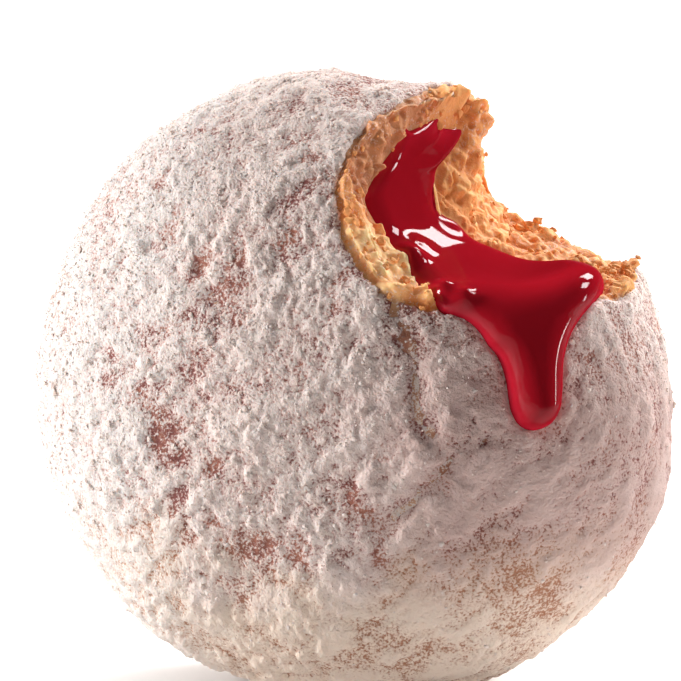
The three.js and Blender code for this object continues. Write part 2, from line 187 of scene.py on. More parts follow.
def bearing_of(aims):
    """Forward and sideways degrees of directions: the angle from the axis, shared out by the turn."""
    angle = np.degrees(np.arccos(np.clip(aims @ BITE, -1, 1)))
    turn = np.arctan2(aims @ SIDEWAYS, aims @ FORWARD)
    return angle * np.cos(turn), angle * np.sin(turn)


def smooth_min(a, b, blend):
    """The lesser of two values, with the corner between them rounded over the blend."""
    h = np.clip(0.5 + 0.5 * (b - a) / blend, 0, 1)
    return b * (1 - h) + a * h - blend * h * (1 - h)


def smooth_step(low, high, value):
    """0 below low, 1 above high, and 3t2 - 2t3 between them."""
    t = np.clip((value - low) / (high - low), 0, 1)
    return t * t * (3 - 2 * t)


def curve_of(places, values):
    """Cubic through the given points with Catmull-Rom slopes, held flat beyond its ends."""
    x, y = np.asarray(places, float), np.asarray(values, float)
    before, after = np.maximum(np.arange(len(x)) - 1, 0), np.minimum(np.arange(len(x)) + 1, len(x) - 1)
    slope = (y[after] - y[before]) / (x[after] - x[before])

    def value_at(at):
        i = np.clip(np.searchsorted(x, at, side="left"), 1, len(x) - 1)
        span = x[i] - x[i - 1]
        t = np.clip((at - x[i - 1]) / span, 0, 1)
        t2, t3 = t * t, t * t * t
        return (y[i - 1] * (2 * t3 - 3 * t2 + 1) + slope[i - 1] * span * (t3 - 2 * t2 + t)
                + y[i] * (3 * t2 - 2 * t3) + slope[i] * span * (t3 - t2))

    return value_at


# ---------------------------------------------------------------- the two CAD shapes

def ball_place(points):
    """Across, up and depth of points from the dough's middle."""
    offset = points - MIDDLE
    return offset @ ACROSS, offset @ UP, offset @ DEPTH


def ball_distance(points):
    """((in-plane share)^n + (depth share)^n)^(1/n) - 1, times the depth: about millimetres."""
    across, up, depth = ball_place(points)
    turn = np.arctan2(up, across)
    outline = (1 + OVAL_SIZE * np.cos(2 * (turn - OVAL_TURN))
               + THREE_SIDED_SIZE * np.cos(3 * (turn - THREE_SIDED_TURN)))
    in_plane = np.hypot(across, up) / (RADIUS * outline)
    through = np.abs(depth) / np.where(depth > 0, FRONT_DEPTH, BACK_DEPTH)
    return ((in_plane ** ROUNDNESS + through ** ROUNDNESS) ** (1 / ROUNDNESS) - 1) * BACK_DEPTH


def bite_distance(points):
    """Distance to the nearest scoop: a circle whose middle and radius change with depth, drawn
    out into a channel that opens outward."""
    across, up, depth = ball_place(points)
    part = (NEAR_PLANE - depth) / (NEAR_PLANE - FAR_PLANE)
    nearest = None
    for scoop in SCOOPS:
        (na, nu, nr), (fa, fu, fr) = scoop["near"], scoop["far"]
        x = across - (na + (fa - na) * part)
        y = up - (nu + (fu - nu) * part)
        c, s = math.cos(math.radians(scoop["opens"])), math.sin(math.radians(scoop["opens"]))
        outward = np.maximum(x * c + y * s, 0)
        distance = np.hypot(x - outward * c, y - outward * s) - (nr + (fr - nr) * part)
        nearest = distance if nearest is None else smooth_min(nearest, distance, SCOOP_BLEND)
    return nearest


def hills(hill_list, aims):
    """Sum of height times exp(-(angle from the hill / radius) squared)."""
    height = np.zeros(aims.shape[:-1])
    for forward, sideways, rise, radius in hill_list:
        angle = np.degrees(np.arccos(np.clip(aims @ bearing_direction(forward, sideways), -1, 1)))
        height += rise * np.exp(-((angle / radius) ** 2))
    return height


def wave_height(points):
    """Sum of sines along directions spread by the golden angle, from long waves to short."""
    golden = math.pi * (3 - math.sqrt(5))
    i = np.arange(WAVE_COUNT)
    z = 1 - (2 * i + 1) / WAVE_COUNT
    flat = np.sqrt(1 - z * z)
    length = LONGEST_WAVE + (SHORTEST_WAVE - LONGEST_WAVE) * i / (WAVE_COUNT - 1)
    number = np.stack([flat * np.cos(i * golden), flat * np.sin(i * golden), z], 1)
    number *= (2 * math.pi / length)[:, None]
    return WAVE_HEIGHT * np.sin((points - MIDDLE) @ number.T + i * golden).sum(-1)


def reach_where(aims, value, start, low, high):
    """Halves the span between low and high until value(start + aim * reach) changes sign there."""
    low = np.broadcast_to(low, aims.shape[:-1]).astype(float)
    high = np.broadcast_to(high, aims.shape[:-1]).astype(float)
    for _ in range(HALVINGS):
        middle = (low + high) / 2
        inside = value(start + aims * middle[..., None]) < 0
        low, high = np.where(inside, middle, low), np.where(inside, high, middle)
    return low


def from_heart(aims, reach):
    """Points at a reach along directions from the heart."""
    return HEART + aims * np.asarray(reach)[..., None]


def aims_and_reach(points):
    """Directions and distances of points from the heart."""
    away = points - HEART
    reach = np.linalg.norm(away, axis=-1)
    return away / reach[..., None], reach


def skin_reach(aims):
    """Distance from the heart to the skin, with its waves and the swellings of the torn edge."""
    plain = reach_where(aims, ball_distance, HEART, 0.0, 2 * RADIUS)
    return plain + wave_height(from_heart(aims, plain)) + hills(SKIN_SWELLINGS, aims)


def wall_reach(aims):
    """Distance from the heart to the wall of the bite, or twice the radius where it is missed.
    It is marched in short steps and then halved down."""
    flat = aims.reshape(-1, 3)
    reach = np.full(len(flat), 2 * RADIUS)
    near = np.flatnonzero(flat @ BITE > math.cos(BITE_HALF_ANGLE))
    open_aims = flat[near]
    distance = 0.0
    left = np.arange(len(near))
    while distance < 2 * RADIUS and len(left):
        distance += MARCH_STEP
        hit = bite_distance(HEART + open_aims[left] * distance) < 0
        reach[near[left[hit]]] = distance
        left = left[~hit]
    found = np.flatnonzero(reach < 2 * RADIUS)
    reach[found] = reach_where(flat[found], lambda p: -bite_distance(p), HEART,
                               reach[found] - MARCH_STEP, reach[found])
    reach[found] += hills(CRUMB_LUMPS, flat[found])
    return reach.reshape(aims.shape[:-1])


def dough_reach(aims):
    """Distance from the heart to the outside of the dough: the lesser of skin and wall."""
    return np.minimum(skin_reach(aims), wall_reach(aims))


def bed_reach(aims):
    """Distance from the heart to what the jelly lies on: the dough, with its rim rounded."""
    return smooth_min(skin_reach(aims), wall_reach(aims), RIM_SOFTENING)


def rim_angle(turns):
    """Angle from the bite's axis at which the wall meets the skin, by halving."""
    low, high = np.zeros_like(turns), np.full_like(turns, RIM_HALF_ANGLE)
    for _ in range(RIM_HALVINGS):
        middle = (low + high) / 2
        aims = direction(middle, turns)
        inside = wall_reach(aims) < skin_reach(aims)
        low, high = np.where(inside, middle, low), np.where(inside, high, middle)
    return low


rim_turns = np.linspace(-math.pi, math.pi, RIM_SAMPLES)
rim_angles = rim_angle(rim_turns)
torn_width = curve_of(TORN_TURNS, TORN_WIDTHS)


def beyond_tear(aims, reach):
    """Distance along the skin from the edge of the torn band, in millimetres: above 0 on the
    whole crust, below 0 on the band and in the bite."""
    angle = np.arccos(np.clip(aims @ BITE, -1, 1))
    turn = np.arctan2(aims @ SIDEWAYS, aims @ FORWARD)
    ragged = TEAR_RAGGEDNESS * layered_noise(from_heart(aims, reach), *TEAR_NOISE)
    band = torn_width(np.degrees(turn) % 360) * (1 + TEAR_WIDENING * ragged) + TEAR_SHIFT * ragged
    return (angle - np.interp(turn, rim_turns, rim_angles)) * reach - band


mouth_radius = curve_of(MOUTH_TURNS, MOUTH_RADII)


def mouth_angle(turns):
    """Angle from the bite's axis to the edge of the jelly's mouth."""
    around = MOUTH_TURNS[0] + (np.degrees(turns) - MOUTH_TURNS[0]) % 360
    return np.radians(mouth_radius(around)) * MOUTH_LIP


def pocket_reach(angle, turn, clearance=0.0):
    """From the mouth's edge to an ellipsoid round the heart, along a steep neck, less a clearance."""
    aims = direction(angle, turn)
    ellipsoid = 1 / np.sqrt((aims @ ACROSS / POCKET_RADIUS[0]) ** 2 + (aims @ UP / POCKET_RADIUS[1]) ** 2
                            + (aims @ DEPTH / POCKET_RADIUS[2]) ** 2)
    mouth = mouth_angle(turn)
    lip = dough_reach(direction(mouth, turn))
    along = np.sqrt(smooth_step(0, 1, (angle - mouth) / POCKET_NECK))
    return lip + (ellipsoid - lip) * along - NECK_STEEPNESS * clearance


# ---------------------------------------------------------------- noise

TABLE_SIZE = 256
NOISE_SHIFT = 137.0              # these keep the numbers of the cells above 0
SEED_SHIFT = 211.0
NOISE_RANGE = 1.7                # brings the sum of the slopes to about -1 to 1
FOLD_STEEPNESS = 1.6


def corner_codes(table, cell, step):
    """The table's number for the lattice corner that is a step of cells away."""
    x, y, z = ((cell[..., i] + step[i]) & (TABLE_SIZE - 1) for i in range(3))
    return table[table[table[x] + y] + z]


def lattice_noise(points, size, seed):
    """Gradient noise, about -1 to 1: random slopes on a lattice of the given size, blended by
    6t5 - 15t4 + 10t3."""
    random = np.random.default_rng(seed)
    table = np.concatenate([random.permutation(TABLE_SIZE)] * 2)
    slopes = unit(random.normal(size=(TABLE_SIZE, 3)))
    scaled = points / size + NOISE_SHIFT
    cell = np.floor(scaled).astype(np.int64)
    f = scaled - cell
    fade = f * f * f * (f * (f * 6 - 15) + 10)
    total = np.zeros(points.shape[:-1])
    for step in itertools.product((0, 1), repeat=3):
        x, y, z = (fade[..., i] if step[i] else 1 - fade[..., i] for i in range(3))
        slope = slopes[corner_codes(table, cell, step)]
        total += x * y * z * ((f - step) * slope).sum(-1)
    return total * NOISE_RANGE


def layered_noise(points, size, layers, seed, gain=0.5, folded=False):
    """Sum of lattice noises, each half as large in size and gain times as high as the last. Folded
    noise has its lower half turned up, which makes rounded puffs with creases between them: 0 in
    a crease, about 1 on a puff."""
    total = np.zeros(points.shape[:-1])
    heights = gain ** np.arange(layers)
    for layer, height in enumerate(heights):
        noise = lattice_noise(points, size / 2 ** layer, seed + layer)
        total += height * (np.minimum(np.abs(noise) * FOLD_STEEPNESS, 1) if folded else noise)
    return total / heights.sum()


def moved_by_noise(points, size, seed, distance):
    """Points moved up to about a distance, which bends what is drawn on them."""
    return points + np.stack([lattice_noise(points, size, seed + i) for i in range(3)], -1) * distance


def soft_lumps(points, size, seed, least, most):
    """Low round hills, 0 to 1, on random seed points, one in each cell of the size: (1 - distance2
    / radius2) squared over the nearest seed point, whose radius lies between least and most of a
    cell, the wider ones up to twice as high."""
    random = np.random.default_rng(seed)
    table = np.concatenate([random.permutation(TABLE_SIZE)] * 2)
    jitter = random.random((TABLE_SIZE, 3))
    number = random.random(TABLE_SIZE)
    scaled = points / size + SEED_SHIFT
    cell = np.floor(scaled).astype(np.int64)
    f = scaled - cell
    nearest = np.full(points.shape[:-1], np.inf)
    own = np.zeros(points.shape[:-1])
    for step in itertools.product((-1, 0, 1), repeat=3):
        code = corner_codes(table, cell, step)
        away = ((step + jitter[code] - f) ** 2).sum(-1)
        own = np.where(away < nearest, number[code], own)
        nearest = np.minimum(away, nearest)
    radius = least + (most - least) * own
    return np.maximum(1 - nearest / radius ** 2, 0) ** 2 * (0.5 + 0.5 * own)


# ---------------------------------------------------------------- meshes

def grid_normals(points, wrap):
    """Unit normals of a grid of points, from the cross product of its two central differences."""
    down = np.gradient(points, axis=0)
    if wrap:
        along = (np.roll(points, -1, 1) - np.roll(points, 1, 1)) / 2
    else:
        along = np.gradient(points, axis=1)
    return unit(np.cross(down, along))


def soft_normals(normals, times):
    """Normals of a closed ring grid, each averaged with its four neighbours a number of times."""
    for _ in range(times):
        padded = np.concatenate([normals[:1], normals, normals[-1:]])
        normals = unit(2 * normals + padded[:-2] + padded[2:]
                       + np.roll(normals, 1, 1) + np.roll(normals, -1, 1))
    return normals


def ring_faces(rings, around, first=0):
    """Quads between rings of points, each ring closed on itself."""
    ring, i = np.meshgrid(np.arange(rings - 1), np.arange(around), indexing="ij")
    a, b = first + ring * around + i, first + ring * around + (i + 1) % around
    return np.stack([a, a + around, b + around, b], -1).reshape(-1, 4)


def fan_faces(pole, ring, outward):
    """Triangles from a pole to a closed ring of point numbers."""
    after = np.roll(ring, -1)
    poles = np.full(len(ring), pole)
    return np.stack([poles, ring, after] if outward else [poles, after, ring], 1)


def closed_rings(start, rows, end, first=0):
    """Points and faces of a closed surface: a pole, rings of points and another pole. The points
    are numbered from first."""
    count, around = rows.shape[:2]
    points = np.concatenate([np.reshape(start, (1, 3)), rows.reshape(-1, 3), np.reshape(end, (1, 3))])
    ring = first + 1 + np.arange(around)
    triangles = np.concatenate([
        fan_faces(first, ring, outward=True),
        fan_faces(first + len(points) - 1, ring + (count - 1) * around, outward=False),
    ])
    return points, ring_faces(count, around, first + 1), triangles


def write_mesh(name, points, quads, triangles, smooth=True):
    """A new object whose mesh has these points, in millimetres, and faces."""
    quads = np.asarray(quads, np.int64).reshape(-1, 4)
    triangles = np.asarray(triangles, np.int64).reshape(-1, 3)
    loops = np.concatenate([quads.ravel(), triangles.ravel()])
    starts = np.concatenate([np.arange(len(quads)) * 4, len(quads) * 4 + np.arange(len(triangles)) * 3])
    mesh = bpy.data.meshes.new(name)
    mesh.vertices.add(len(points))
    mesh.vertices.foreach_set("co", (np.asarray(points) * MM).astype(np.float32).ravel())
    mesh.loops.add(len(loops))
    mesh.loops.foreach_set("vertex_index", loops.astype(np.int32))
    mesh.polygons.add(len(starts))
    mesh.polygons.foreach_set("loop_start", starts.astype(np.int32))
    mesh.polygons.foreach_set("use_smooth", np.full(len(starts), smooth))
    mesh.update(calc_edges=True)
    mesh.validate()
    piece = bpy.data.objects.new(name, mesh)
    bpy.context.scene.collection.objects.link(piece)
    return piece


def add_attribute(piece, name, values):
    """A number for each point of a piece, which its material reads by name."""
    attribute = piece.data.attributes.new(name, "FLOAT", "POINT")
    attribute.data.foreach_set("value", np.asarray(values, np.float32).ravel())


def finish_piece(piece, material, slot, *nodes):
    """Gives a piece its material and body, and hides the CAD nodes it stands for. The slot is not used."""
    piece.data.materials.append(material)
    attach(piece, "root")
    if nodes:
        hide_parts(*nodes)


# Loose bodies: how uneven and drawn out each is, how far it is nudged aside in millimetres, and
# the power of a random number that makes small ones far more common.
BODY_UNEVENNESS = 0.32
BODY_STRETCH = 0.5
BODY_NUDGE = 0.12
SIZE_POWER = 3


def scatter(seeds, sizes, outward, squash, seed, body):
    """One small irregular body at each seed point: each of its corners is pushed in or out at
    random, then the body is turned at random and pressed flat along the outward direction."""
    random = np.random.default_rng(seed)
    corners, faces = body
    count = len(seeds)
    radius = 1 + BODY_UNEVENNESS * (random.random((count, len(corners), 1)) - 0.5) * 2
    shape = corners[None] * radius * (1 + BODY_STRETCH * (random.random((count, 1, 3)) - 0.5))
    turned = unit(random.normal(size=(count, 3)))
    side = unit(np.cross(turned, outward))
    other = np.cross(outward, side)
    basis = np.stack([side, other, outward * squash], 1)
    points = np.einsum("nkc,ncd->nkd", spin(shape, random), basis) * sizes[:, None, None] + seeds[:, None]
    numbers = faces[None] + np.arange(count)[:, None, None] * len(corners)
    return points.reshape(-1, 3), numbers.reshape(-1, 3), len(corners)


def spin(shape, random):
    """Each body turned by a random rotation made of two random directions."""
    first = unit(random.normal(size=(len(shape), 3)))
    second = unit(np.cross(first, unit(random.normal(size=(len(shape), 3)))))
    turn = np.stack([first, second, np.cross(first, second)], 1)
    return np.einsum("nkc,ncd->nkd", shape, turn)


def eight_faces():
    """Octahedron: 6 points and 8 faces, its corners one from the middle."""
    corners = np.concatenate([np.eye(3), -np.eye(3)])
    faces = []
    for x, y, z in itertools.product((0, 3), (1, 4), (2, 5)):
        outward = np.dot(np.cross(corners[x], corners[y]), corners[z]) > 0
        faces.append((x, y, z) if outward else (x, z, y))
    return corners, np.array(faces)


def many_faces():
    """Octahedron with each face cut in four, all corners one from the middle: 32 faces."""
    corners, faces = eight_faces()
    pairs = np.sort(np.concatenate([faces[:, [0, 1]], faces[:, [1, 2]], faces[:, [2, 0]]]), axis=1)
    edges, which = np.unique(pairs, axis=0, return_inverse=True)
    middles = unit(corners[edges].sum(1))
    ab, bc, ca = len(corners) + which.reshape(3, -1)
    a, b, c = faces.T
    quarters = np.concatenate([np.stack([a, ab, ca], 1), np.stack([ab, b, bc], 1),
                               np.stack([ca, bc, c], 1), np.stack([ab, bc, ca], 1)])
    return np.concatenate([corners, middles]), quarters


# ---------------------------------------------------------------- shader maths

class Value:
    """A shader socket that Python's arithmetic works on. Each operation adds a Math node."""

    def __init__(self, shading, socket):
        self.shading = shading
        self.socket = socket

    def joined(self, operation, first, second, clamp=False):
        settings = {"operation": operation, "use_clamp": clamp}
        node = self.shading.node("ShaderNodeMath", settings, {0: first, 1: second})
        return Value(self.shading, node.outputs[0])

    def __add__(self, other):
        return self.joined("ADD", self, other)

    __radd__ = __add__

    def __sub__(self, other):
        return self.joined("SUBTRACT", self, other)

    def __rsub__(self, other):
        return self.joined("SUBTRACT", other, self)

    def __mul__(self, other):
        return self.joined("MULTIPLY", self, other)

    __rmul__ = __mul__

    def __pow__(self, other):
        return self.joined("POWER", self, other)

    def __rpow__(self, other):
        return self.joined("POWER", other, self)

    def clamped(self):
        """The value held between 0 and 1."""
        return self.joined("ADD", self, 0.0, clamp=True)

    def step(self, low, high):
        """0 below low, 1 above high and a smooth step between."""
        sockets = {0: self, 1: low, 2: high}
        node = self.shading.node("ShaderNodeMapRange", {"interpolation_type": "SMOOTHSTEP"}, sockets)
        return Value(self.shading, node.outputs[0])


class Shading:
    """The node tree of one new material."""

    def __init__(self, name):
        self.material = bpy.data.materials.new(name)
        self.material.use_nodes = True
        self.tree = self.material.node_tree
        self.tree.nodes.clear()
        self.place = self.node("ShaderNodeTexCoord").outputs["Object"]

    def node(self, kind, settings=None, sockets=None):
        """A node of a kind: its settings come first, then the values or links of its sockets."""
        made = self.tree.nodes.new(kind)
        for key, setting in (settings or {}).items():
            setattr(made, key, setting)
        for key, value in (sockets or {}).items():
            if isinstance(value, Value):
                value = value.socket
            if isinstance(value, bpy.types.NodeSocket):
                self.tree.links.new(value, made.inputs[key])
            else:
                made.inputs[key].default_value = value
        return made

    def attribute(self, name):
        """A number that was stored at the mesh's points."""
        return Value(self, self.node("ShaderNodeAttribute", {"attribute_name": name}).outputs["Fac"])

    def place_along(self, axis):
        """The place along one axis, in metres."""
        return Value(self, self.node("ShaderNodeSeparateXYZ", {}, {"Vector": self.place}).outputs[axis])

    def noise(self, size, detail=3.0, roughness=0.55):
        """Noise whose features are of a size in millimetres."""
        sockets = {"Vector": self.place, "Scale": 1 / (size * MM), "Detail": detail,
                   "Roughness": roughness}
        return Value(self, self.node("ShaderNodeTexNoise", {}, sockets).outputs["Fac"])

    def cells(self, size):
        """Distance to the nearest of random points about a size in millimetres apart, as a share
        of that size."""
        sockets = {"Vector": self.place, "Scale": 1 / (size * MM)}
        return Value(self, self.node("ShaderNodeTexVoronoi", {}, sockets).outputs["Distance"])

    def blend(self, part, first, second):
        """Mix of two colours by a value."""
        sockets = {0: part, 6: rgba(first), 7: rgba(second)}
        return self.node("ShaderNodeMix", {"data_type": "RGBA"}, sockets).outputs[2]

    def bump(self, height, distance):
        """Normal of a height field whose unit is a distance in millimetres."""
        sockets = {"Strength": 1.0, "Distance": distance * MM, "Height": height}
        return self.node("ShaderNodeBump", {}, sockets).outputs["Normal"]

    def shader(self, **sockets):
        """A principled shader with these sockets."""
        named = {}
        for key, value in sockets.items():
            named[key.replace("_", " ").title().replace("Ior", "IOR")] = value
        return self.node("ShaderNodeBsdfPrincipled", {}, named).outputs["BSDF"]

    def output(self, shader):
        """Joins a shader to the output and gives the finished material."""
        self.node("ShaderNodeOutputMaterial", {}, {"Surface": shader})
        return self.material

    def surface(self, **sockets):
        """The material of one principled shader with these sockets."""
        return self.output(self.shader(**sockets))


def rgba(colour):
    """A colour of three numbers with full alpha. A socket stays as it is."""
    if isinstance(colour, bpy.types.NodeSocket):
        return colour
    return (*colour, 1.0)


# ---------------------------------------------------------------- settings

def colour_setting(name, description, default):
    """A colour that a user can change."""
    return FloatVectorProperty(name=name, description=description, subtype="COLOR", size=3,
                               min=0.0, max=1.0, default=default)


class DoughSettings(bpy.types.PropertyGroup):
    """The fried dough: its crust and the crumb in the bite."""

    crumb_relief: FloatProperty(name="Crumb relief", unit="LENGTH", default=0.9 * MM, min=0.0,
                                description="Height of the lumps on the torn crumb")
    crumb_colour: colour_setting("Crumb", "Lit crumb", (0.88, 0.42, 0.14))
    # Painted shade: this darker colour fills the crumb's hollows; on loose crumbs it is a darker tint at
    # random.
    darker_crumb_and_hollow_shade_colour: colour_setting("Deep crumb", "Hollows of the crumb", (0.72, 0.25, 0.07))
    # Painted light and shade: a lighter crumb where the near lip is lit and a browner one on the shaded
    # inner wall.
    lit_crumb_colour: colour_setting("Pale crumb", "Crumb at the near lip", (1.0, 0.73, 0.37))
    shaded_crumb_colour: colour_setting("Brown crumb", "Crumb on the shaded side", (0.48, 0.19, 0.085))
    torn_colour: colour_setting("Torn edge", "Crust along the torn rim", (0.60, 0.30, 0.15))
    dust_colour: colour_setting("Dust", "Sugar dust on the crumb near the rim", (0.80, 0.70, 0.66))
    # Painted glow: the crumb gives off light in its own colour, standing in for light coming through it.
    glow: FloatProperty(name="Crumb glow", default=1.0, min=0.0,
                        description="How strongly light comes through the crumb")
    crumb_count: IntProperty(name="Crumbs", default=520, min=0, max=6000,
                             description="Loose crumbs along the bite")
    crust_colour: colour_setting("Crust", "Fried crust where no sugar lies", (0.36, 0.14, 0.085))
    pale_crust_colour: colour_setting("Pale crust", "Paler fried crust", (0.62, 0.33, 0.20))


class SugarSettings(bpy.types.PropertyGroup):
    """The powdered sugar: its coat, lumps and grains."""

    thickness: FloatProperty(name="Thickness", unit="LENGTH", default=0.35 * MM, min=0.0,
                             description="Mean height of the sugar coat over the crust")
    relief: FloatProperty(name="Relief", unit="LENGTH", default=0.72 * MM, min=0.0,
                          description="Height of the coat's lumps")
    lump_count: IntProperty(name="Lumps", default=1800, min=0, max=6200,
                            description="Loose lumps of caked sugar")
    grain_count: IntProperty(name="Grains", default=14000, min=0, max=24900,
                             description="Grains of sugar in each of the grain pieces")
    colour: colour_setting("Sugar", "Dry powdered sugar", (0.84, 0.705, 0.65))
    # Painted light: the sugar on the lit left is tinted toward this whiter colour.
    lit_side_colour: colour_setting("Dry sugar", "Thick dry sugar on the left", (0.82, 0.755, 0.72))
    loose_colour: colour_setting("Loose sugar", "Darkest of the loose lumps and grains", (0.79, 0.64, 0.58))
    cream_colour: colour_setting("Sugar on the band", "Sugar over the creamy lower part",
                                 (0.86, 0.70, 0.585))
    thin_colour: colour_setting("Thin sugar", "Sugar so thin that the crust tints it",
                                (0.60, 0.40, 0.36))
    thin_on_band_colour: colour_setting("Thin sugar on the band",
                                        "Thin sugar over the pale band round the edge",
                                        (0.67, 0.47, 0.37))
    band_colour: colour_setting("Pale band", "Pale band round the edge under the sugar",
                                (0.43, 0.20, 0.12))
    crust_colour: colour_setting("Crust", "Browned crust under the sugar", (0.25, 0.09, 0.08))
    pale_crust_colour: colour_setting("Pale crust", "Paler crust under the sugar", (0.42, 0.175, 0.12))


class JellySettings(bpy.types.PropertyGroup):
    """The jelly."""

    colour: colour_setting("Jelly", "Thick jelly", (0.30, 0.005, 0.012))
    thin_colour: colour_setting("Thin jelly", "Jelly at its thin edges", (0.50, 0.012, 0.03))
    shine: FloatProperty(name="Shine", default=0.020, min=0.0, max=1.0,
                         description="Share of the light that the wet jelly mirrors")


class StageSettings(bpy.types.PropertyGroup):
    """The floor, lights and camera."""

    floor_colour: colour_setting("Floor", "Pale floor and backdrop", (0.70, 0.69, 0.68))
    floor_glow: FloatProperty(name="Floor glow", default=0.72, min=0.0,
                              description="Light that the floor and backdrop give off themselves")
    dim_light: FloatProperty(name="Dim light", default=0.03, min=0.0,
                             description="Light of the dim room around the stage")
    camera_distance: FloatProperty(name="Camera distance", unit="LENGTH", default=0.356,
                                   description="From the camera to the point it aims at")


class DoughnutSettings(bpy.types.PropertyGroup):
    """All settings of the doughnut."""

    dough: PointerProperty(type=DoughSettings)
    sugar: PointerProperty(type=SugarSettings)
    jelly: PointerProperty(type=JellySettings)
    stage: PointerProperty(type=StageSettings)


# ---------------------------------------------------------------- the dough

DOUGH_AROUND = 440
POCKET_ROWS = 8
WALL_ROWS = 96
CRUST_ROWS = 100
SKIN_CROWDING = 1.5              # power that crowds the skin's rows toward the rim
RELIEF_SOFTENING = 4             # how often the normals that the relief follows are averaged
UNDER_JELLY = 0.9                # how far the crumb lies under the jelly's bed
UNDER_SUGAR = 0.55               # and the crust under the sugared skin
SINK_SPAN = 0.04                 # share of the skin over which the crust sinks to that
DOUGH_LIFT = 0.3                 # the crust under the sugar stays this far above the floor
TORN_FADE = (0.5, -0.3)          # crust turns into torn crumb between these, beyond the tear
EDGE_WIDTH = 2.0                 # of the paler crust along the tear

# As hills by bearing: where the crumb has painted light or painted shade, where loose crumbs gather, and
# pits.
LIT_CRUMB_HILLS = ((22, 2, 1.3, 9), (14, 20, 0.6, 6))
SHADED_CRUMB_HILLS = ((12, -14, 1.4, 9), (-2, -16, 0.9, 6))
TUFTS = ((-20, 20.5, 6.0, 3.5), (-17, 22.5, 4.0, 2.5), (16, 4.5, 1.5, 3.0), (-37, 3, 2.0, 4.0))
PITS = ((-15.2, -13.0, -1.8, 0.9), (-13.4, -12.2, -0.9, 0.7), (12, -13.5, -0.8, 1.2))

# The crumb's relief. Noise: size, layers, seed and gain. Lobes and bubbles: size, seed, and least
# and greatest radius as a share of the size. Warp: size, seed and distance.
CRUMB_WARP = (2.4, 12, 0.8)
CRUMB_HILLS, HILL_HEIGHT = (5.6, 2, 11), 1.2
LOBES, SMALL_LOBES, LOBE_HEIGHT = (3.4, 25, 0.5, 0.95), (1.8, 26, 0.4, 0.85), 1.5
SMALL_LOBE_SHARE, LOBE_LEVEL = 0.55, 0.45
BUBBLES, BUBBLE_DEPTH = (1.5, 23, 0.3, 0.6), 0.8
CRUMB_GRAIN, GRAIN_HEIGHT = (1.1, 2, 28, 0.7), 0.18
# Painted shade: the crumb is coloured darker in its hollows, where its relief is low.
HOLLOW_SHADE_LEVEL, HOLLOW_SHADE_STEEPNESS = 0.42, 0.5
# Painted glow: share of its colour that the crumb gives off, though it is no lamp.
PAINTED_CRUMB_GLOW = 0.1                 # share of its colour that the crumb gives off at a glow of 1

# Where loose crumbs lie: their share anywhere, at the rim and in clusters of noise there.
CRUMB_SPREAD, RIM_CRUMBS, RIM_CRUMB_WIDTH = 0.08, 0.3, 2.5
CRUMB_CLUSTERS, CLUSTER_FADE = (4.0, 2, 91), (0.0, 0.6)
CLEAN_SHADED_CRUMB = 0.95               # share of the crumbs that the crumb with painted shade goes without
CRUMBS = {"low": 0.15, "high": 0.8, "squash": 0.65, "lift": 0.2, "seed": 93}


def dough_piece(settings):
    """Rings around the bite's axis: from the pole at the back of the pocket to the jelly's mouth,
    over the bite's wall to the rim, and over the skin to the pole behind it."""
    turns = np.arange(DOUGH_AROUND) / DOUGH_AROUND * 2 * math.pi
    mouth, rim = mouth_angle(turns), rim_angle(turns)
    pocket_angle = math.pi + (mouth - math.pi) * (np.arange(1, POCKET_ROWS) / POCKET_ROWS)[:, None]
    pocket = from_heart(direction(pocket_angle, turns), pocket_reach(pocket_angle, turns))
    wall_part = (np.arange(WALL_ROWS + 1) / WALL_ROWS)[:, None]
    wall_aims = direction(mouth + (rim - mouth) * wall_part, turns)
    wall = even_rows(from_heart(wall_aims, dough_reach(wall_aims)))
    skin_part = (np.arange(1, CRUST_ROWS) / CRUST_ROWS)[:, None]
    skin_aims = direction(rim + (math.pi - rim) * skin_part ** SKIN_CROWDING, turns)
    reach = skin_reach(skin_aims)
    tear = beyond_tear(skin_aims, reach)
    skin = from_heart(skin_aims, reach - UNDER_SUGAR * smooth_step(0, SINK_SPAN, skin_part))
    rows = np.concatenate([pocket, wall, skin])
    normals = soft_normals(grid_normals(rows, wrap=True), RELIEF_SOFTENING)
    aims, length = aims_and_reach(rows)
    none = np.zeros(pocket.shape[:2])
    crumb = np.concatenate([none, np.ones(wall.shape[:2]), smooth_step(*TORN_FADE, tear)])
    edge = np.concatenate([none, np.sqrt(wall_part) + 0 * turns, np.exp(-(tear / EDGE_WIDTH) ** 2)])
    under = jelly_share(aims)
    under[:len(pocket)] = 0
    height, hollow_shade = crumb_height(rows)
    relief = settings.crumb_relief / MM * height * crumb + hills(PITS, aims)
    lower = np.clip(length - bed_reach(aims), 0, RIM_SOFTENING / 4) * under
    shift = relief * (1 - under) - UNDER_JELLY * under
    rows = rows + normals * shift[..., None] - aims * lower[..., None]
    rows[..., 2] = np.maximum(rows[..., 2], DOUGH_LIFT)
    back = direction(np.array(math.pi), np.array(0.0))
    deep = from_heart(back, pocket_reach(np.array(math.pi), np.array(0.0)))
    behind = from_heart(back, skin_reach(back[None])[0])
    piece = write_mesh("fried_dough", *closed_rings(deep, rows, behind))
    # Painted light and shade of the crumb: above 0 at the lit near lip, below 0 on the shaded inner wall.
    painted_light_and_shade = hills(LIT_CRUMB_HILLS, aims) - hills(SHADED_CRUMB_HILLS, aims)
    for name, values in (("crumb", crumb), ("edge", edge), ("hollow_shade", hollow_shade), ("painted_light_and_shade", painted_light_and_shade)):
        add_attribute(piece, name, np.pad(values.ravel(), 1))
    weights = crumb * crumb_share(rows)
    return piece, (rows.reshape(-1, 3), normals.reshape(-1, 3), weights.ravel())


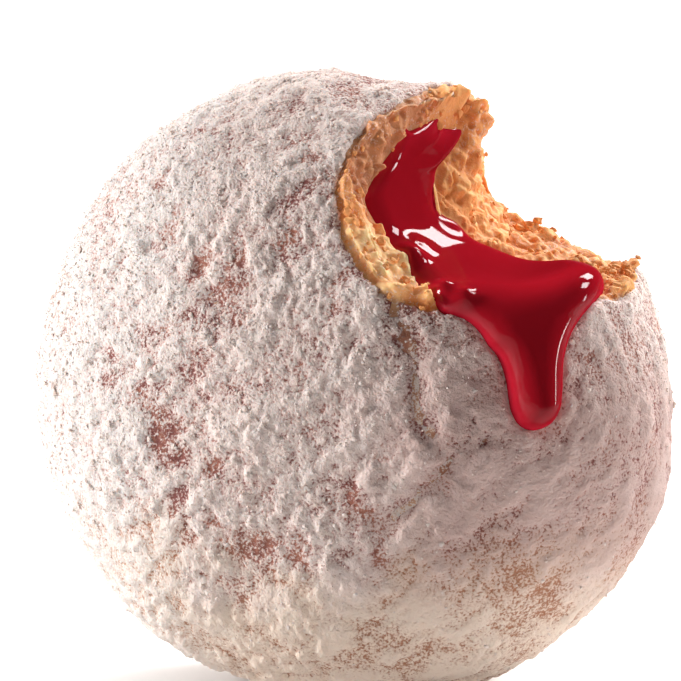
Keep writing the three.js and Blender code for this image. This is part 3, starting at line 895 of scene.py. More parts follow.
def crumb_share(rows):
    """How thickly loose crumbs lie: mostly along the rim in clusters and in tufts, none under the
    jelly, and few on the crumb with painted shade."""
    aims, length = aims_and_reach(rows)
    rim = np.exp(-(beyond_tear(aims, length) / RIM_CRUMB_WIDTH) ** 2)
    clusters = smooth_step(*CLUSTER_FADE, layered_noise(rows, *CRUMB_CLUSTERS))
    share = CRUMB_SPREAD + rim * (RIM_CRUMBS + clusters) + hills(TUFTS, aims)
    return share * (1 - jelly_share(aims)) * (1 - CLEAN_SHADED_CRUMB * np.minimum(hills(SHADED_CRUMB_HILLS, aims), 1))


def even_rows(rows):
    """The same lines of points, spaced evenly along each line's length."""
    steps = np.linalg.norm(np.diff(rows, axis=0), axis=-1)
    run = np.concatenate([np.zeros((1, rows.shape[1])), np.cumsum(steps, 0)])
    wanted = run[-1] * (np.arange(len(rows)) / (len(rows) - 1))[:, None]
    columns = []
    for i in range(rows.shape[1]):
        columns.append(np.stack([np.interp(wanted[:, i], run[:, i], rows[:, i, c]) for c in range(3)], -1))
    return np.stack(columns, 1)


def crumb_height(points):
    """Torn crumb: broad hills, soft lobes of two sizes, bubbles pressed in and fine noise. The
    second value is how deep in one of its hollows a point lies, 0 to 1; it paints shade there."""
    warped = moved_by_noise(points, *CRUMB_WARP)
    lobe = soft_lumps(warped, *LOBES) + SMALL_LOBE_SHARE * soft_lumps(warped, *SMALL_LOBES)
    height = (HILL_HEIGHT * layered_noise(warped, *CRUMB_HILLS) + LOBE_HEIGHT * (lobe - LOBE_LEVEL)
              - BUBBLE_DEPTH * soft_lumps(warped, *BUBBLES)
              + GRAIN_HEIGHT * layered_noise(points, *CRUMB_GRAIN))
    return height, np.clip(HOLLOW_SHADE_LEVEL - HOLLOW_SHADE_STEEPNESS * height, 0, 1)


def dough_material(settings):
    """Golden crumb, darker in its hollows as painted shade, lighter at the lit near lip as painted
    light and browner on the shaded inner wall as painted shade, and crust that is browned in
    patches. Sugar dusts the crust and the crumb near the rim. The crumb gives off a painted glow."""
    s = Shading("crumb_and_crust")
    patch, fine, speck = s.noise(9.0), s.noise(0.8, 4.0, 0.65), s.noise(0.28, 2.0, 0.6)
    hollow_shade, crumb, edge, painted_light_and_shade = (s.attribute(name) for name in ("hollow_shade", "crumb", "edge", "painted_light_and_shade"))
    # Painted shade: the crumb turns to the darker colour in its hollows, mixed with noise.
    deep = (hollow_shade * 1.2 + (fine - 0.5) * 1.1 + (patch - 0.5) * 0.5).clamped()
    inside = s.blend(deep, settings.crumb_colour, settings.darker_crumb_and_hollow_shade_colour)
    # Painted light at the lit near lip, painted shade on the shaded inner wall.
    inside = s.blend(painted_light_and_shade.step(0.0, 1.0) * (1 - deep * 0.5), inside, settings.lit_crumb_colour)
    inside = s.blend(painted_light_and_shade.step(0.0, -1.0) * 0.8, inside, settings.shaded_crumb_colour)
    crust = s.blend((patch + (fine - 0.5) * 0.8).step(0.35, 0.65), settings.crust_colour,
                    settings.pale_crust_colour)
    dust = (speck + (fine - 0.5) * 1.0 + (patch - 0.5) * 0.5 - edge * 0.12).step(0.46, 0.60)
    dusted = s.blend(dust * 0.7, s.blend(edge, crust, settings.torn_colour), settings.dust_colour)
    sprinkled = s.blend(dust * edge ** 3.0 * 0.6, inside, settings.dust_colour)
    colour = s.blend(crumb, dusted, sprinkled)
    relief = fine * 0.6 + speck * 0.4 + s.cells(0.8) * 0.5
    return s.surface(base_color=colour, roughness=0.78, normal=s.bump(relief, 0.2),
                     # Painted glow: the crumb gives off light in its own colour.
                     emission_color=s.blend(crumb * PAINTED_CRUMB_GLOW, (0.0, 0.0, 0.0), inside),
                     emission_strength=settings.glow,
                     subsurface_weight=0.45, subsurface_radius=(1.0, 0.6, 0.35),
                     subsurface_scale=1.5 * MM)


def crumb_material(settings):
    """Loose golden crumbs, each with its own tint, giving off the crumb's painted glow."""
    s = Shading("loose_crumb")
    tint, grain = s.attribute("tint"), s.noise(0.5, 3.0, 0.6)
    colour = s.blend((tint * 0.7 + (grain - 0.5) * 0.8 + 0.1).clamped(),
                     settings.crumb_colour, settings.darker_crumb_and_hollow_shade_colour)
    return s.surface(base_color=colour, roughness=0.8, normal=s.bump(grain, 0.25),
                     emission_color=colour, emission_strength=PAINTED_CRUMB_GLOW * settings.glow)


# ---------------------------------------------------------------- the sugar coat

COAT_CELLS = 296
COAT_BACKING_RINGS = 6
COAT_DEPTH = 1.2                 # of the inner face under the crust
COAT_LIFT = 0.6                  # and its least height above the floor
COAT_OVERLAP = 1.02              # the halves run past each other by this share of their disc
COAT_TUCK = 0.7                  # and dive under each other by this much at their borders
TUCK_CELLS = 3.5                 # over this many cells of the grid
COAT_SINK = 0.5                  # how far the coat lies under the jelly and under torn crumb
HIDDEN_REACH = 0.6               # share of the reach at which it lies behind the bite
# Millimetres beyond the tear between which the coat's base, and then its relief, rise.
BASE_FADE, COAT_FADE = (-0.3, 0.4), (0.1, 1.2)

# The coat's relief. Noise: size, layers, seed and gain. Clumps: size, seed, and least and greatest
# radius as a share of the size. Warp: size, seed and distance.
SLOW_SWELL = (13.0, 2, 51)
ROUGH_AREAS, ROUGH_FADE = (8.0, 2, 52), (-0.35, 0.4)
LEAST_ROUGHNESS = 0.3
DRIFT_CALM = 0.4                 # drifts take away this share of the roughness
DRIFT_WANDER, DRIFT_BEND = (5.0, 57), 1.2
DRIFTS, DRIFT_FADE = (4.2, 2, 58), (-0.1, 0.55)
DRIFT_TURN = math.radians(40)    # drifts of sugar run up to the right across the face
DRIFT_SHARE = 0.4                # and are this much narrower than long
PUFF_WARP = (1.9, 61, 0.7)
PUFFS = (4.8, 2, 54, 0.5)
CLUMPS, SMALL_CLUMPS, SMALL_CLUMP_SHARE = (2.8, 55, 0.35, 0.75), (1.6, 59, 0.3, 0.7), 0.6
SUGAR_GRAIN = (1.3, 2, 56, 0.7)
DRIFT_HEIGHT, PUFF_HEIGHT, CLUMP_HEIGHT, SUGAR_GRAIN_HEIGHT = 0.5, 0.8, 0.9, 0.30
MEAN_RELIEF = 0.62
SLOW_THICKNESS = 0.6             # share by which the swell thickens or thins the coat
BARE_FLATNESS = 0.35             # share of the relief that bare patches go without
CREASE_DEPTH, CREASE_WIDTH = 0.45, 1.3

# How well sugar covers the crust: the mean, and what each thing adds or takes away.
# Less cover in the relief's hollows and along the creases darkens them with thinner sugar and partly
# painted shade; more cover on the far left is painted light.
MEAN_COVER, SLOW_COVER, DRIFT_COVER, RELIEF_COVER_AND_SHADE, LIT_LEFT_COVER = 0.66, 0.22, 0.20, 0.65, 0.17
BARE_LOSS, BAND_LOSS, CREASE_LOSS_AND_SHADE, RIM_LOSS = 0.44, 0.06, 0.15, 0.6

# Where the coat is bare, pale or tinted as painted shade: noise as above, and how far it moves the edges.
BARE_EDGES, BARE_WOBBLE = (4.0, 3, 41), 2.2
BARE_ELSEWHERE, ELSEWHERE_FADE, ELSEWHERE_SHARE = (9.0, 3, 43), (0.1, 0.7), 0.8
ELSEWHERE_DEPTH = (14, 2)
BAND_EDGES, PAINTED_SHADE_EDGES, EDGE_WANDER = (9.0, 2, 65), (7.0, 2, 67), 5

# Areas of the coat: between which places across, up or in depth each one fades in.
CALM_AREAS = (
    {"across": (6, 26), "up": (12, -14), "calm": 0.15},
    {"across": (24, 34), "up": (2, -12), "calm": 0.40},
)
BAND_UP, BAND_DEPTH = (-19, -31), (29, 22)
BAND_SLOPE_LEFT, BAND_SLOPE_RIGHT = 0.22, 0.12   # millimetres up for each across
# Painted shade: between these places the sugar low on the right is tinted toward the thin sugar's colour.
PAINTED_SHADE_ACROSS, PAINTED_SHADE_UP, PAINTED_SHADE_OVER_BAND = (4, 24), (14, -4), (-36, -24)
# Painted light: between these places the sugar on the lit left turns whiter and covers more of the crust.
LIT_SIDE_ACROSS = (-5, -26)
LIT_LEFT_FADE, LIT_LEFT_SLOPE = (-8, -32), 0.5
BARE_RIM = ((27, 6, 1.2, 13),)   # as hills: where the crust beside the tear has lost its sugar
BARE_RIM_FADE = (0.6, 2.8)       # and up to how far beyond the tear

# Loose sugar: sizes, squash and lift as scatter_piece takes them, the share that lies anywhere
# on the coat, and the cover from which more of it lies.
LUMPS = {"low": 0.16, "high": 0.46, "squash": 0.6, "lift": -0.15}
GRAINS = {"low": 0.08, "high": 0.2, "squash": 0.8, "lift": 0.2}
LUMP_SPREAD, LUMP_COVER = 0.25, 0.2
GRAIN_SPREAD, GRAIN_COVER = 0.35, 0.0
CLEAN_SUGAR = 0.92               # share of it that the pale band and the area of painted shade go without

# Bare patches of the front face, in the dough's own axes: across, up, radius and how bare.
BARE_PATCHES = (
    (-20.9, 24.9, 1.8, 0.9), (-16.9, 31.4, 1.8, 0.8), (-12.2, 32.3, 2.6, 0.7), (-16.8, 21.4, 1.2, 0.8),
    (-0.5, 29.1, 3.0, 0.7), (-0.5, 22.5, 3.2, 0.7), (-16.9, 16.1, 2.3, 0.9), (-12.1, 13.3, 2.4, 1.1),
    (-7.9, 12.7, 2.8, 1.1), (0.3, 15.3, 2.3, 0.8), (-12.9, 7.5, 2.2, 1.0), (-9.8, 8.5, 2.1, 1.0),
    (7.6, 10.5, 1.8, 0.7), (8.1, 8.0, 1.8, 0.7), (-19.5, 3.7, 1.9, 0.9), (-15.4, 2.2, 2.4, 1.0),
    (-12.0, 2.0, 7.0, 0.4), (-24.8, 1.4, 1.4, 1.0), (-24.4, -2.4, 1.4, 1.0), (-18.9, -4.7, 2.4, 1.1),
    (-17.7, -6.9, 2.4, 1.1),
    (-15.6, -9.8, 2.8, 1.2), (-13.6, -12.0, 2.0, 1.1), (-8.0, -13.4, 1.8, 1.2), (-12.8, -17.2, 1.6, 1.1),
    (-13.1, -19.7, 1.6, 1.1), (-12.2, -22.6, 1.4, 1.0), (-8.1, -20.3, 1.6, 0.9), (-5.4, -22.6, 2.2, 1.0),
    (-1.3, -23.4, 2.7, 1.0), (3.5, -23.6, 2.5, 1.0), (10.8, -15.2, 1.7, 1.0), (11.2, -17.7, 1.7, 0.9),
    (14.2, -23.5, 1.2, 1.0), (5.6, -30.8, 2.2, 0.5), (10.4, -33.1, 2.2, 0.5), (-2.7, -30.0, 2.0, 0.4),
    (14.5, -34.0, 2.2, 0.4), (30.8, -25.3, 2.4, 0.8), (33.0, -28.0, 1.6, 0.8), (17.8, 2.6, 1.6, 0.5),
    (18.2, -3.1, 1.6, 0.6), (18.4, -7.5, 1.6, 0.6), (-4.9, 37.0, 3.0, 0.6), (0.6, 40.0, 4.0, 0.6),
)
# Creases of the front face, each a line through points across and up.
CREASES = (
    ((14.5, 8.5), (17.6, 2.0), (18.4, -5.5), (22.5, -11.0), (20.5, -15.0), (15.0, -19.5)),
    ((22.5, -11.0), (27.0, -8.0)),
    ((31.0, 1.5), (33.5, -6.0)),
    ((-12.0, 12.0), (-8.0, 6.0)),
)


def hemisphere(cells, pole):
    """Directions over a little more than the half sphere about a pole. The square's (u, v) goes
    to a disc by the concentric map, and the disc's radius r to the height 1 - r2, which keeps
    areas equal."""
    side = np.linspace(-COAT_OVERLAP, COAT_OVERLAP, cells + 1)
    u, v = np.meshgrid(side, side, indexing="ij")
    wide = np.abs(u) >= np.abs(v)
    r = np.where(wide, u, v)
    with np.errstate(divide="ignore", invalid="ignore"):
        around = np.where(wide, math.pi / 4 * v / u, math.pi / 2 - math.pi / 4 * u / v)
    around = np.nan_to_num(around)
    x, y = r * np.cos(around), r * np.sin(around)
    disc = x * x + y * y
    shrink = np.sqrt(2 - disc)
    first = unit(np.cross([0.0, 0.0, 1.0], pole))
    second = np.cross(pole, first)
    return unit((x * shrink)[..., None] * first + (y * shrink)[..., None] * second
                + (1 - disc)[..., None] * pole)


def skin_from_middle(aims):
    """Skin points along directions from the dough's middle: the plain ball, then its waves and
    swellings along the direction from the heart."""
    reach = reach_where(aims, ball_distance, MIDDLE, 0.0, 2 * RADIUS)
    plain = MIDDLE + aims * reach[..., None]
    heart_aims, length = aims_and_reach(plain)
    return heart_aims, length + wave_height(plain) + hills(SKIN_SWELLINGS, heart_aims)


def bare_share(points):
    """How bare the crust is: hills of the named patches on the front face, cut up by noise, and
    patches of noise alone elsewhere."""
    across, up, depth = ball_place(points)
    bare = np.zeros(points.shape[:-1])
    wobble = BARE_WOBBLE * layered_noise(points, *BARE_EDGES)
    for x, y, radius, share in BARE_PATCHES:
        away = np.hypot(across - x, up - y) + wobble
        bare = np.maximum(bare, share * smooth_step(1.5 * radius, 0.2 * radius, away) * (depth > 0))
    elsewhere = smooth_step(*ELSEWHERE_FADE, layered_noise(points, *BARE_ELSEWHERE))
    return np.maximum(bare, ELSEWHERE_SHARE * elsewhere * smooth_step(*ELSEWHERE_DEPTH, depth))


def jelly_share(aims):
    """1 under the jelly's outline, falling to 0 over about a degree and a half at its edge."""
    forward, sideways = bearing_of(aims)
    inside = np.minimum(front_edge(sideways) - forward, forward - back_edge(sideways))
    inside = np.minimum(inside, np.minimum(sideways - OUTLINE_ALONG[0], OUTLINE_ALONG[-1] - sideways))
    return smooth_step(*OUTLINE_FADE, inside)


def coat_relief(points, settings):
    """Sugar over the crust in millimetres: a slow swell, drifts drawn out along one diagonal,
    creased puffs and flat lumps that gather in places, and fine noise. The second value is how
    well the sugar covers the crust, which is partly painted shade in hollows and creases and
    painted light on the far left."""
    across, up, depth = ball_place(points)
    along = across * math.cos(DRIFT_TURN) + up * math.sin(DRIFT_TURN)
    aside = up * math.cos(DRIFT_TURN) - across * math.sin(DRIFT_TURN)
    drawn = np.stack([along * DRIFT_SHARE, aside, depth], -1)
    drawn = drawn + DRIFT_BEND * lattice_noise(points, *DRIFT_WANDER)[..., None]
    drift = smooth_step(*DRIFT_FADE, layered_noise(drawn, *DRIFTS))
    slow = layered_noise(points, *SLOW_SWELL)
    rough = smooth_step(*ROUGH_FADE, layered_noise(points, *ROUGH_AREAS)) * (1 - DRIFT_CALM * drift)
    rough = LEAST_ROUGHNESS + (1 - LEAST_ROUGHNESS) * rough
    warped = moved_by_noise(points, *PUFF_WARP)
    puff = layered_noise(warped, *PUFFS, folded=True)
    clump = soft_lumps(warped, *CLUMPS) + SMALL_CLUMP_SHARE * soft_lumps(warped, *SMALL_CLUMPS)
    calm = calm_share(across, up)
    relief = (DRIFT_HEIGHT * drift
              + calm * rough * (PUFF_HEIGHT * puff + CLUMP_HEIGHT * clump)
              + SUGAR_GRAIN_HEIGHT * calm * layered_noise(points, *SUGAR_GRAIN))
    bare = bare_share(points)
    crease = crease_share(across, up) * (depth > 0)
    # Painted light: more cover, so whiter sugar, on the lit far left.
    lit_left = smooth_step(*LIT_LEFT_FADE, across - LIT_LEFT_SLOPE * up * (up > 0))
    height = (settings.relief / MM * relief * (1 - BARE_FLATNESS * bare)
              + settings.thickness / MM * (1 + SLOW_THICKNESS * slow)
              - UNDER_SUGAR - CREASE_DEPTH * crease)
    # Partly painted shade: less cover in the relief's hollows and along the creases.
    cover = (MEAN_COVER + SLOW_COVER * slow + DRIFT_COVER * drift
             + RELIEF_COVER_AND_SHADE * (relief - MEAN_RELIEF) + LIT_LEFT_COVER * lit_left
             - BARE_LOSS * bare - BAND_LOSS * pale_band(points) - CREASE_LOSS_AND_SHADE * crease)
    return height, cover


def calm_share(across, up):
    """How rough the coat is: 1, and down to about a half low on the right, where it lies smooth."""
    share = np.ones(across.shape)
    for area in CALM_AREAS:
        share -= area["calm"] * smooth_step(*area["across"], across) * smooth_step(*area["up"], up)
    return share


def crease_share(across, up):
    """1 along the creases of the front face: exp(-(distance / width) squared)."""
    nearest = np.full(across.shape, np.inf)
    for line in CREASES:
        for (x0, y0), (x1, y1) in zip(line[:-1], line[1:]):
            x, y, dx, dy = across - x0, up - y0, x1 - x0, y1 - y0
            part = np.clip((x * dx + y * dy) / (dx ** 2 + dy ** 2), 0, 1)
            nearest = np.minimum(nearest, np.hypot(x - part * dx, y - part * dy))
    return np.exp(-(nearest / CREASE_WIDTH) ** 2)


def pale_band(points):
    """1 on the creamy lower part, where the dough rose pale between its two fried faces."""
    across, up, depth = ball_place(points)
    wander = EDGE_WANDER * layered_noise(points, *BAND_EDGES)
    slope = BAND_SLOPE_LEFT * np.minimum(across, 0) - BAND_SLOPE_RIGHT * np.maximum(across, 0)
    return smooth_step(*BAND_UP, up + slope + wander) * smooth_step(*BAND_DEPTH, np.abs(depth) + wander)


def painted_shade_share(points):
    """1 low on the right, where the sugar is tinted darker and rosier as painted shade."""
    across, up, _ = ball_place(points)
    wander = EDGE_WANDER * layered_noise(points, *PAINTED_SHADE_EDGES)
    return (smooth_step(*PAINTED_SHADE_ACROSS, across + wander) * smooth_step(*PAINTED_SHADE_UP, up + wander)
            * smooth_step(*PAINTED_SHADE_OVER_BAND, up - BAND_SLOPE_RIGHT * across))


def lit_side_share(points):
    """1 on the left, where the sugar is made nearly white as painted light."""
    return smooth_step(*LIT_SIDE_ACROSS, ball_place(points)[0])


def coat_piece(name, pole, settings):
    """Half of the sugar coat: the outer face over an equal-area grid, and an inner face of rings
    drawn from the grid's border to a pole under the crust."""
    aims, reach = skin_from_middle(hemisphere(COAT_CELLS, pole))
    normals = grid_normals(from_heart(aims, reach), wrap=False)
    normals *= np.sign((normals * aims).sum(-1, keepdims=True))
    whole = beyond_tear(aims, reach)
    shown = smooth_step(*COAT_FADE, whole)
    base = from_heart(aims, coat_reach(aims, reach, whole))
    height, cover = coat_relief(base, settings)
    under = jelly_share(aims)
    tucked = 1 - smooth_step(0, TUCK_CELLS, cells_from_border(COAT_CELLS))
    height = height * (1 - under) - COAT_SINK * under - COAT_TUCK * tucked
    outer = base + normals * (height * shown - COAT_SINK * (1 - shown))[..., None]
    bare_rim = np.minimum(hills(BARE_RIM, unit(base - HEART)), 1)
    cover = cover - RIM_LOSS * (1 - smooth_step(*BARE_RIM_FADE, whole)) * bare_rim
    loop = border_loop(COAT_CELLS)
    inner = coat_backing(unit(base.reshape(-1, 3)[loop] - MIDDLE), pole)
    points = np.concatenate([outer.reshape(-1, 3), inner])
    least = np.where(np.arange(len(points)) < cover.size, 0.0, COAT_LIFT)
    points[:, 2] = np.maximum(points[:, 2], least)
    piece = write_mesh(name, points, *coat_faces(loop, len(points)))
    add_attribute(piece, "cover", np.concatenate([cover.ravel(), np.zeros(len(inner))]))
    add_attribute(piece, "pale", pale_band(points))
    # Painted shade low on the right.
    add_attribute(piece, "painted_shade", painted_shade_share(points))
    # Painted light on the left.
    add_attribute(piece, "painted_light", lit_side_share(points))
    return piece, outer, normals, cover, shown * (1 - under)


def coat_backing(border_aims, pole):
    """The inner face: rings whose directions turn from the border's to the pole's in even steps
    of a quarter turn, and the pole, all at one depth under the skin."""
    turn = np.arange(COAT_BACKING_RINGS)[:, None, None] / COAT_BACKING_RINGS * math.pi / 2
    rings = unit(border_aims * np.cos(turn) + pole * np.sin(turn))
    aims, reach = skin_from_middle(rings)
    inner = from_heart(aims, coat_reach(aims, reach, beyond_tear(aims, reach)) - COAT_DEPTH)
    pole_aims, pole_reach = skin_from_middle(pole[None])
    return np.concatenate([inner.reshape(-1, 3), from_heart(pole_aims, pole_reach - COAT_DEPTH)])


def coat_faces(loop, count):
    """Quads over the outer grid, over the step to the first inner ring and between the rings, and
    triangles to the pole, which is the last of a count of points."""
    width = COAT_CELLS + 1
    row, column = np.meshgrid(np.arange(COAT_CELLS), np.arange(COAT_CELLS), indexing="ij")
    corner = row * width + column
    grid = np.stack([corner, corner + width, corner + width + 1, corner + 1], -1).reshape(-1, 4)
    around = len(loop)
    ring = width ** 2 + np.arange(around)
    step = np.stack([loop, ring, np.roll(ring, -1), np.roll(loop, -1)], -1)
    rings = ring_faces(COAT_BACKING_RINGS, around, width ** 2)
    cap = fan_faces(count - 1, ring + (COAT_BACKING_RINGS - 1) * around, outward=False)
    return np.concatenate([grid, step, rings]), cap


def cells_from_border(n):
    """How many cells of a square grid lie between each point and the border."""
    border = np.minimum(np.arange(n + 1), n - np.arange(n + 1))
    return np.minimum(border[:, None], border)


def coat_reach(aims, reach, whole):
    """Reach of the coat's base: the skin, and where the crust is torn or bitten off, a share of
    the way to the lesser of skin and wall, which lies hidden in the dough."""
    hidden = HIDDEN_REACH * np.minimum(reach, wall_reach(aims))
    return hidden + (reach - hidden) * smooth_step(*BASE_FADE, whole)


def border_loop(n):
    """Point numbers once around the border of a square grid."""
    width = n + 1
    i = np.arange(n)
    return np.concatenate([i * width, n * width + i, (n - i) * width + n, n - i])


# The cover between which crust gives way to thin sugar, and thin sugar to thick.
THIN_SUGAR, THICK_SUGAR = (-0.16, 0.26), (0.04, 0.62)
# How far noise moves the cover: grains, which move it less where the sugar is thick, clots and
# specks around the mean distance to a speck's middle.
GRAIN_SWING, SWING_LOSS, CLOT_SWING, SPECK_SWING, SPECK_MEAN = 2.9, 2.0, 1.3, 0.4, 0.45
# Shares of the painted shade low on the right and of the painted light on the left.
PAINTED_SHADE_TINT, LIT_SIDE_TINT = 0.75, 0.8
SUGAR_BODY = {"roughness": 0.95, "specular_ior_level": 0.2, "subsurface_weight": 0.35,
              "subsurface_radius": (1.0, 0.7, 0.55), "subsurface_scale": 0.7 * MM}


def sugar_material(settings):
    """Dry sugar over fried crust. The coat's cover and two sizes of grain decide where the
    browned crust, or the pale band round the edge, shows between the grains. The sugar is tinted
    darker low on the right as painted shade and whiter on the left as painted light, and the
    cover is partly painted shade in the coat's hollows and creases."""
    s = Shading("powdered_sugar")
    cover, pale = s.attribute("cover"), s.attribute("pale")
    grain, clot, patch = s.noise(0.34, 2.0, 0.6), s.noise(0.95, 3.0, 0.6), s.noise(6.5, 3.0)
    speck = s.cells(0.42)
    whole = (cover + (grain - 0.5) * (GRAIN_SWING - cover * SWING_LOSS) + (clot - 0.5) * CLOT_SWING
             + (SPECK_MEAN - speck) * SPECK_SWING)
    crust = s.blend((patch + (clot - 0.5) * 0.7).step(0.35, 0.65), settings.crust_colour,
                    settings.pale_crust_colour)
    crust = s.blend(pale, crust, settings.band_colour)
    thin = s.blend(pale, settings.thin_colour, settings.thin_on_band_colour)
    dusted = s.blend(whole.step(*THIN_SUGAR), crust, thin)
    sugar = s.blend(pale, settings.colour, settings.cream_colour)
    # Painted shade: the sugar low on the right is tinted toward the thin sugar's colour.
    sugar = s.blend(s.attribute("painted_shade") * PAINTED_SHADE_TINT, sugar, settings.thin_colour)
    # Painted light: the sugar on the lit left is tinted whiter.
    sugar = s.blend(s.attribute("painted_light") * LIT_SIDE_TINT, sugar, settings.lit_side_colour)
    colour = s.blend(whole.step(*THICK_SUGAR), dusted, sugar)
    relief = grain * 0.7 + clot * 1.2 - speck * 0.2
    return s.surface(base_color=colour, normal=s.bump(relief, 0.28), **SUGAR_BODY)


def sugar_lump_material(settings):
    """The sugar of loose lumps and grains, each with its own tint."""
    s = Shading("loose_sugar")
    tint, grain = s.attribute("tint"), s.noise(0.25, 2.0, 0.6)
    lightness = (tint * 0.7 + 0.15 + (grain - 0.5) * 0.4).clamped()
    colour = s.blend(lightness, settings.loose_colour, settings.colour)
    return s.surface(base_color=colour, normal=s.bump(grain, 0.12), **SUGAR_BODY)


def scatter_piece(name, ground, count, body, low, high, squash, lift, seed):
    """Small bodies on a ground of points, normals and weights. Sizes lie between low and high,
    the small ones far more often, and each body stands its lift, a share of its size, out."""
    points, normals, weights = ground
    random = np.random.default_rng(seed)
    weights = np.maximum(weights, 0)
    chosen = random.choice(len(points), count, p=weights / weights.sum())
    sizes = low + (high - low) * random.random(count) ** SIZE_POWER
    nudge = random.normal(size=(count, 3)) * BODY_NUDGE
    seeds = points[chosen] + normals[chosen] * (sizes * lift)[:, None] + nudge
    bodies, faces, corners = scatter(seeds, sizes, normals[chosen], squash, seed + 1, body)
    bodies[:, 2] = np.maximum(bodies[:, 2], 0.0)
    piece = write_mesh(name, bodies, [], faces, smooth=False)
    add_attribute(piece, "tint", np.repeat(random.random(count), corners))
    return piece


# ---------------------------------------------------------------- the jelly

FLOW_STEPS = 300
FLOW_ACROSS = 96
STEP_CROWDING = 0.7              # share by which the steps crowd toward both ends
BED_STEP = 0.6                   # degrees either way between which the bed's slope is taken
FLAP_THICKNESS = 1.4             # of the dough over the jelly's top
FLAP_SHEET = 1.3                 # and how far the jelly may stand out of the wall there
FLAP_FADE = (-3.0, 1.0)          # the skin counts as whole where the wall lies this far beyond
EDGE_BACKING = 0.2               # share of the backing that is left at the sheet's edge
LOWEST_OF_FLAP = -8.0            # degrees along the bite, beyond which the jelly lies open
CORE_AROUND = 96
CORE_ROWS = 16
CORE_LID = (0.25, 0.5, 0.75, 0.94)   # the lid's rings, as shares of the mouth's radius
CORE_CLEARANCE = 0.2

front_edge = curve_of(OUTLINE_ALONG, OUTLINE_FRONT)
back_edge = curve_of(OUTLINE_ALONG, OUTLINE_BACK)
rise_at = curve_of(DEPTH_ALONG, DEPTH_RISE)
sink_at = curve_of(DEPTH_ALONG, DEPTH_SINK)


def bed_points(forward, sideways):
    """Points of what the jelly lies on."""
    aims = bearing_direction(forward, sideways)
    return from_heart(aims, bed_reach(aims))


def bed_normals(forward, sideways):
    """Cross product of two central differences of the bed."""
    h = BED_STEP
    ahead = bed_points(forward + h, sideways) - bed_points(forward - h, sideways)
    aside = bed_points(forward, sideways + h) - bed_points(forward, sideways - h)
    return unit(np.cross(ahead, aside))


def jelly_piece():
    """The sheet: loops across the flow, over its rounded top and back along its underside, from
    the top tip to the end of the drip. Its height is a quarter ellipse at each edge. The core:
    rings from under the sheet to the pocket's back."""
    first, last = OUTLINE_ALONG[0], OUTLINE_ALONG[-1]
    even = np.linspace(0, 1, FLOW_STEPS + 1)[:, None]
    crowded = 0.5 - 0.5 * np.cos(even * math.pi)
    along = first + (last - first) * ((1 - STEP_CROWDING) * even + STEP_CROWDING * crowded)
    across = (0.5 - 0.5 * np.cos(np.arange(FLOW_ACROSS + 1) / FLOW_ACROSS * math.pi))[None, :]
    front, back = front_edge(along), back_edge(along)
    forward = front + (back - front) * across
    width = np.linalg.norm(bed_points(back, along) - bed_points(front, along), axis=-1)
    short_of_top = 1 - np.minimum(along - first, END_EDGE) / END_EDGE
    short_of_tip = 1 - np.minimum(last - along, END_EDGE) / END_EDGE
    short_of_front = 1 - np.minimum(across * width / np.minimum(FRONT_EDGE, width / 2), 1)
    short_of_back = 1 - np.minimum((1 - across) * width / np.minimum(BACK_EDGE, width / 2), 1)
    short = np.maximum(short_of_front, short_of_back)
    dome = np.sqrt(np.maximum(1 - short ** 2 - short_of_top ** 2, 0) * (1 - short_of_tip ** 2))
    swelling = hills(JELLY_SWELLINGS, bearing_direction(forward, along))
    height = (rise_at(along) + sink_at(along) + swelling) * dome - sink_at(along)
    bed, normals = bed_points(forward, along), bed_normals(forward, along)
    over = bed + normals * height[..., None]
    depth = np.minimum(height, 0) - JELLY_BACKING * (EDGE_BACKING + dome)
    under = (bed + normals * depth[..., None])[:, -2:0:-1]
    rows = keep_under_flap(np.concatenate([over, under], 1), along)
    points, quads, triangles = closed_rings(rows[0].mean(0), rows, rows[-1].mean(0))
    core, core_quads, core_triangles = core_body(len(points))
    piece = write_mesh("jelly_filling", np.concatenate([points, core]),
                       np.concatenate([quads, core_quads]),
                       np.concatenate([triangles, core_triangles]))
    thick = np.pad(np.concatenate([dome, dome[:, -2:0:-1]], 1).ravel(), 1)
    add_attribute(piece, "thick", np.concatenate([thick, np.ones(len(core))]))
    return piece


def keep_under_flap(rows, along):
    """The top of the sheet runs up inside the dough. Its reach from the heart stays short of the
    skin where the skin is whole, and close to the wall in the bite."""
    aims, length = aims_and_reach(rows)
    skin, wall = skin_reach(aims), wall_reach(aims)
    whole = smooth_step(*FLAP_FADE, wall - skin)
    most = np.minimum(skin, wall) + FLAP_SHEET * (1 - whole) - FLAP_THICKNESS * whole
    return from_heart(aims, np.where(along < LOWEST_OF_FLAP, np.minimum(length, most), length))


def core_body(first):
    """Rings from the pole under the sheet, out to the mouth and back along the pocket's wall."""
    turns = np.arange(CORE_AROUND) / CORE_AROUND * 2 * math.pi
    mouth = mouth_angle(turns)
    lid_aims = direction(mouth * np.array(CORE_LID)[:, None], turns)
    lid = from_heart(lid_aims, dough_reach(lid_aims) - JELLY_BACKING)
    angle = mouth + (math.pi - mouth) * (np.arange(CORE_ROWS) / CORE_ROWS)[:, None]
    pocket = from_heart(direction(angle, turns), pocket_reach(angle, turns, CORE_CLEARANCE))
    top, back, turn = np.array([0.0]), np.array([math.pi]), np.array([0.0])
    top_aim = direction(top, turn)
    start = from_heart(top_aim, dough_reach(top_aim) - JELLY_BACKING)
    end = from_heart(direction(back, turn), pocket_reach(back, turn, CORE_CLEARANCE))
    return closed_rings(start, np.concatenate([lid, pocket]), end, first)


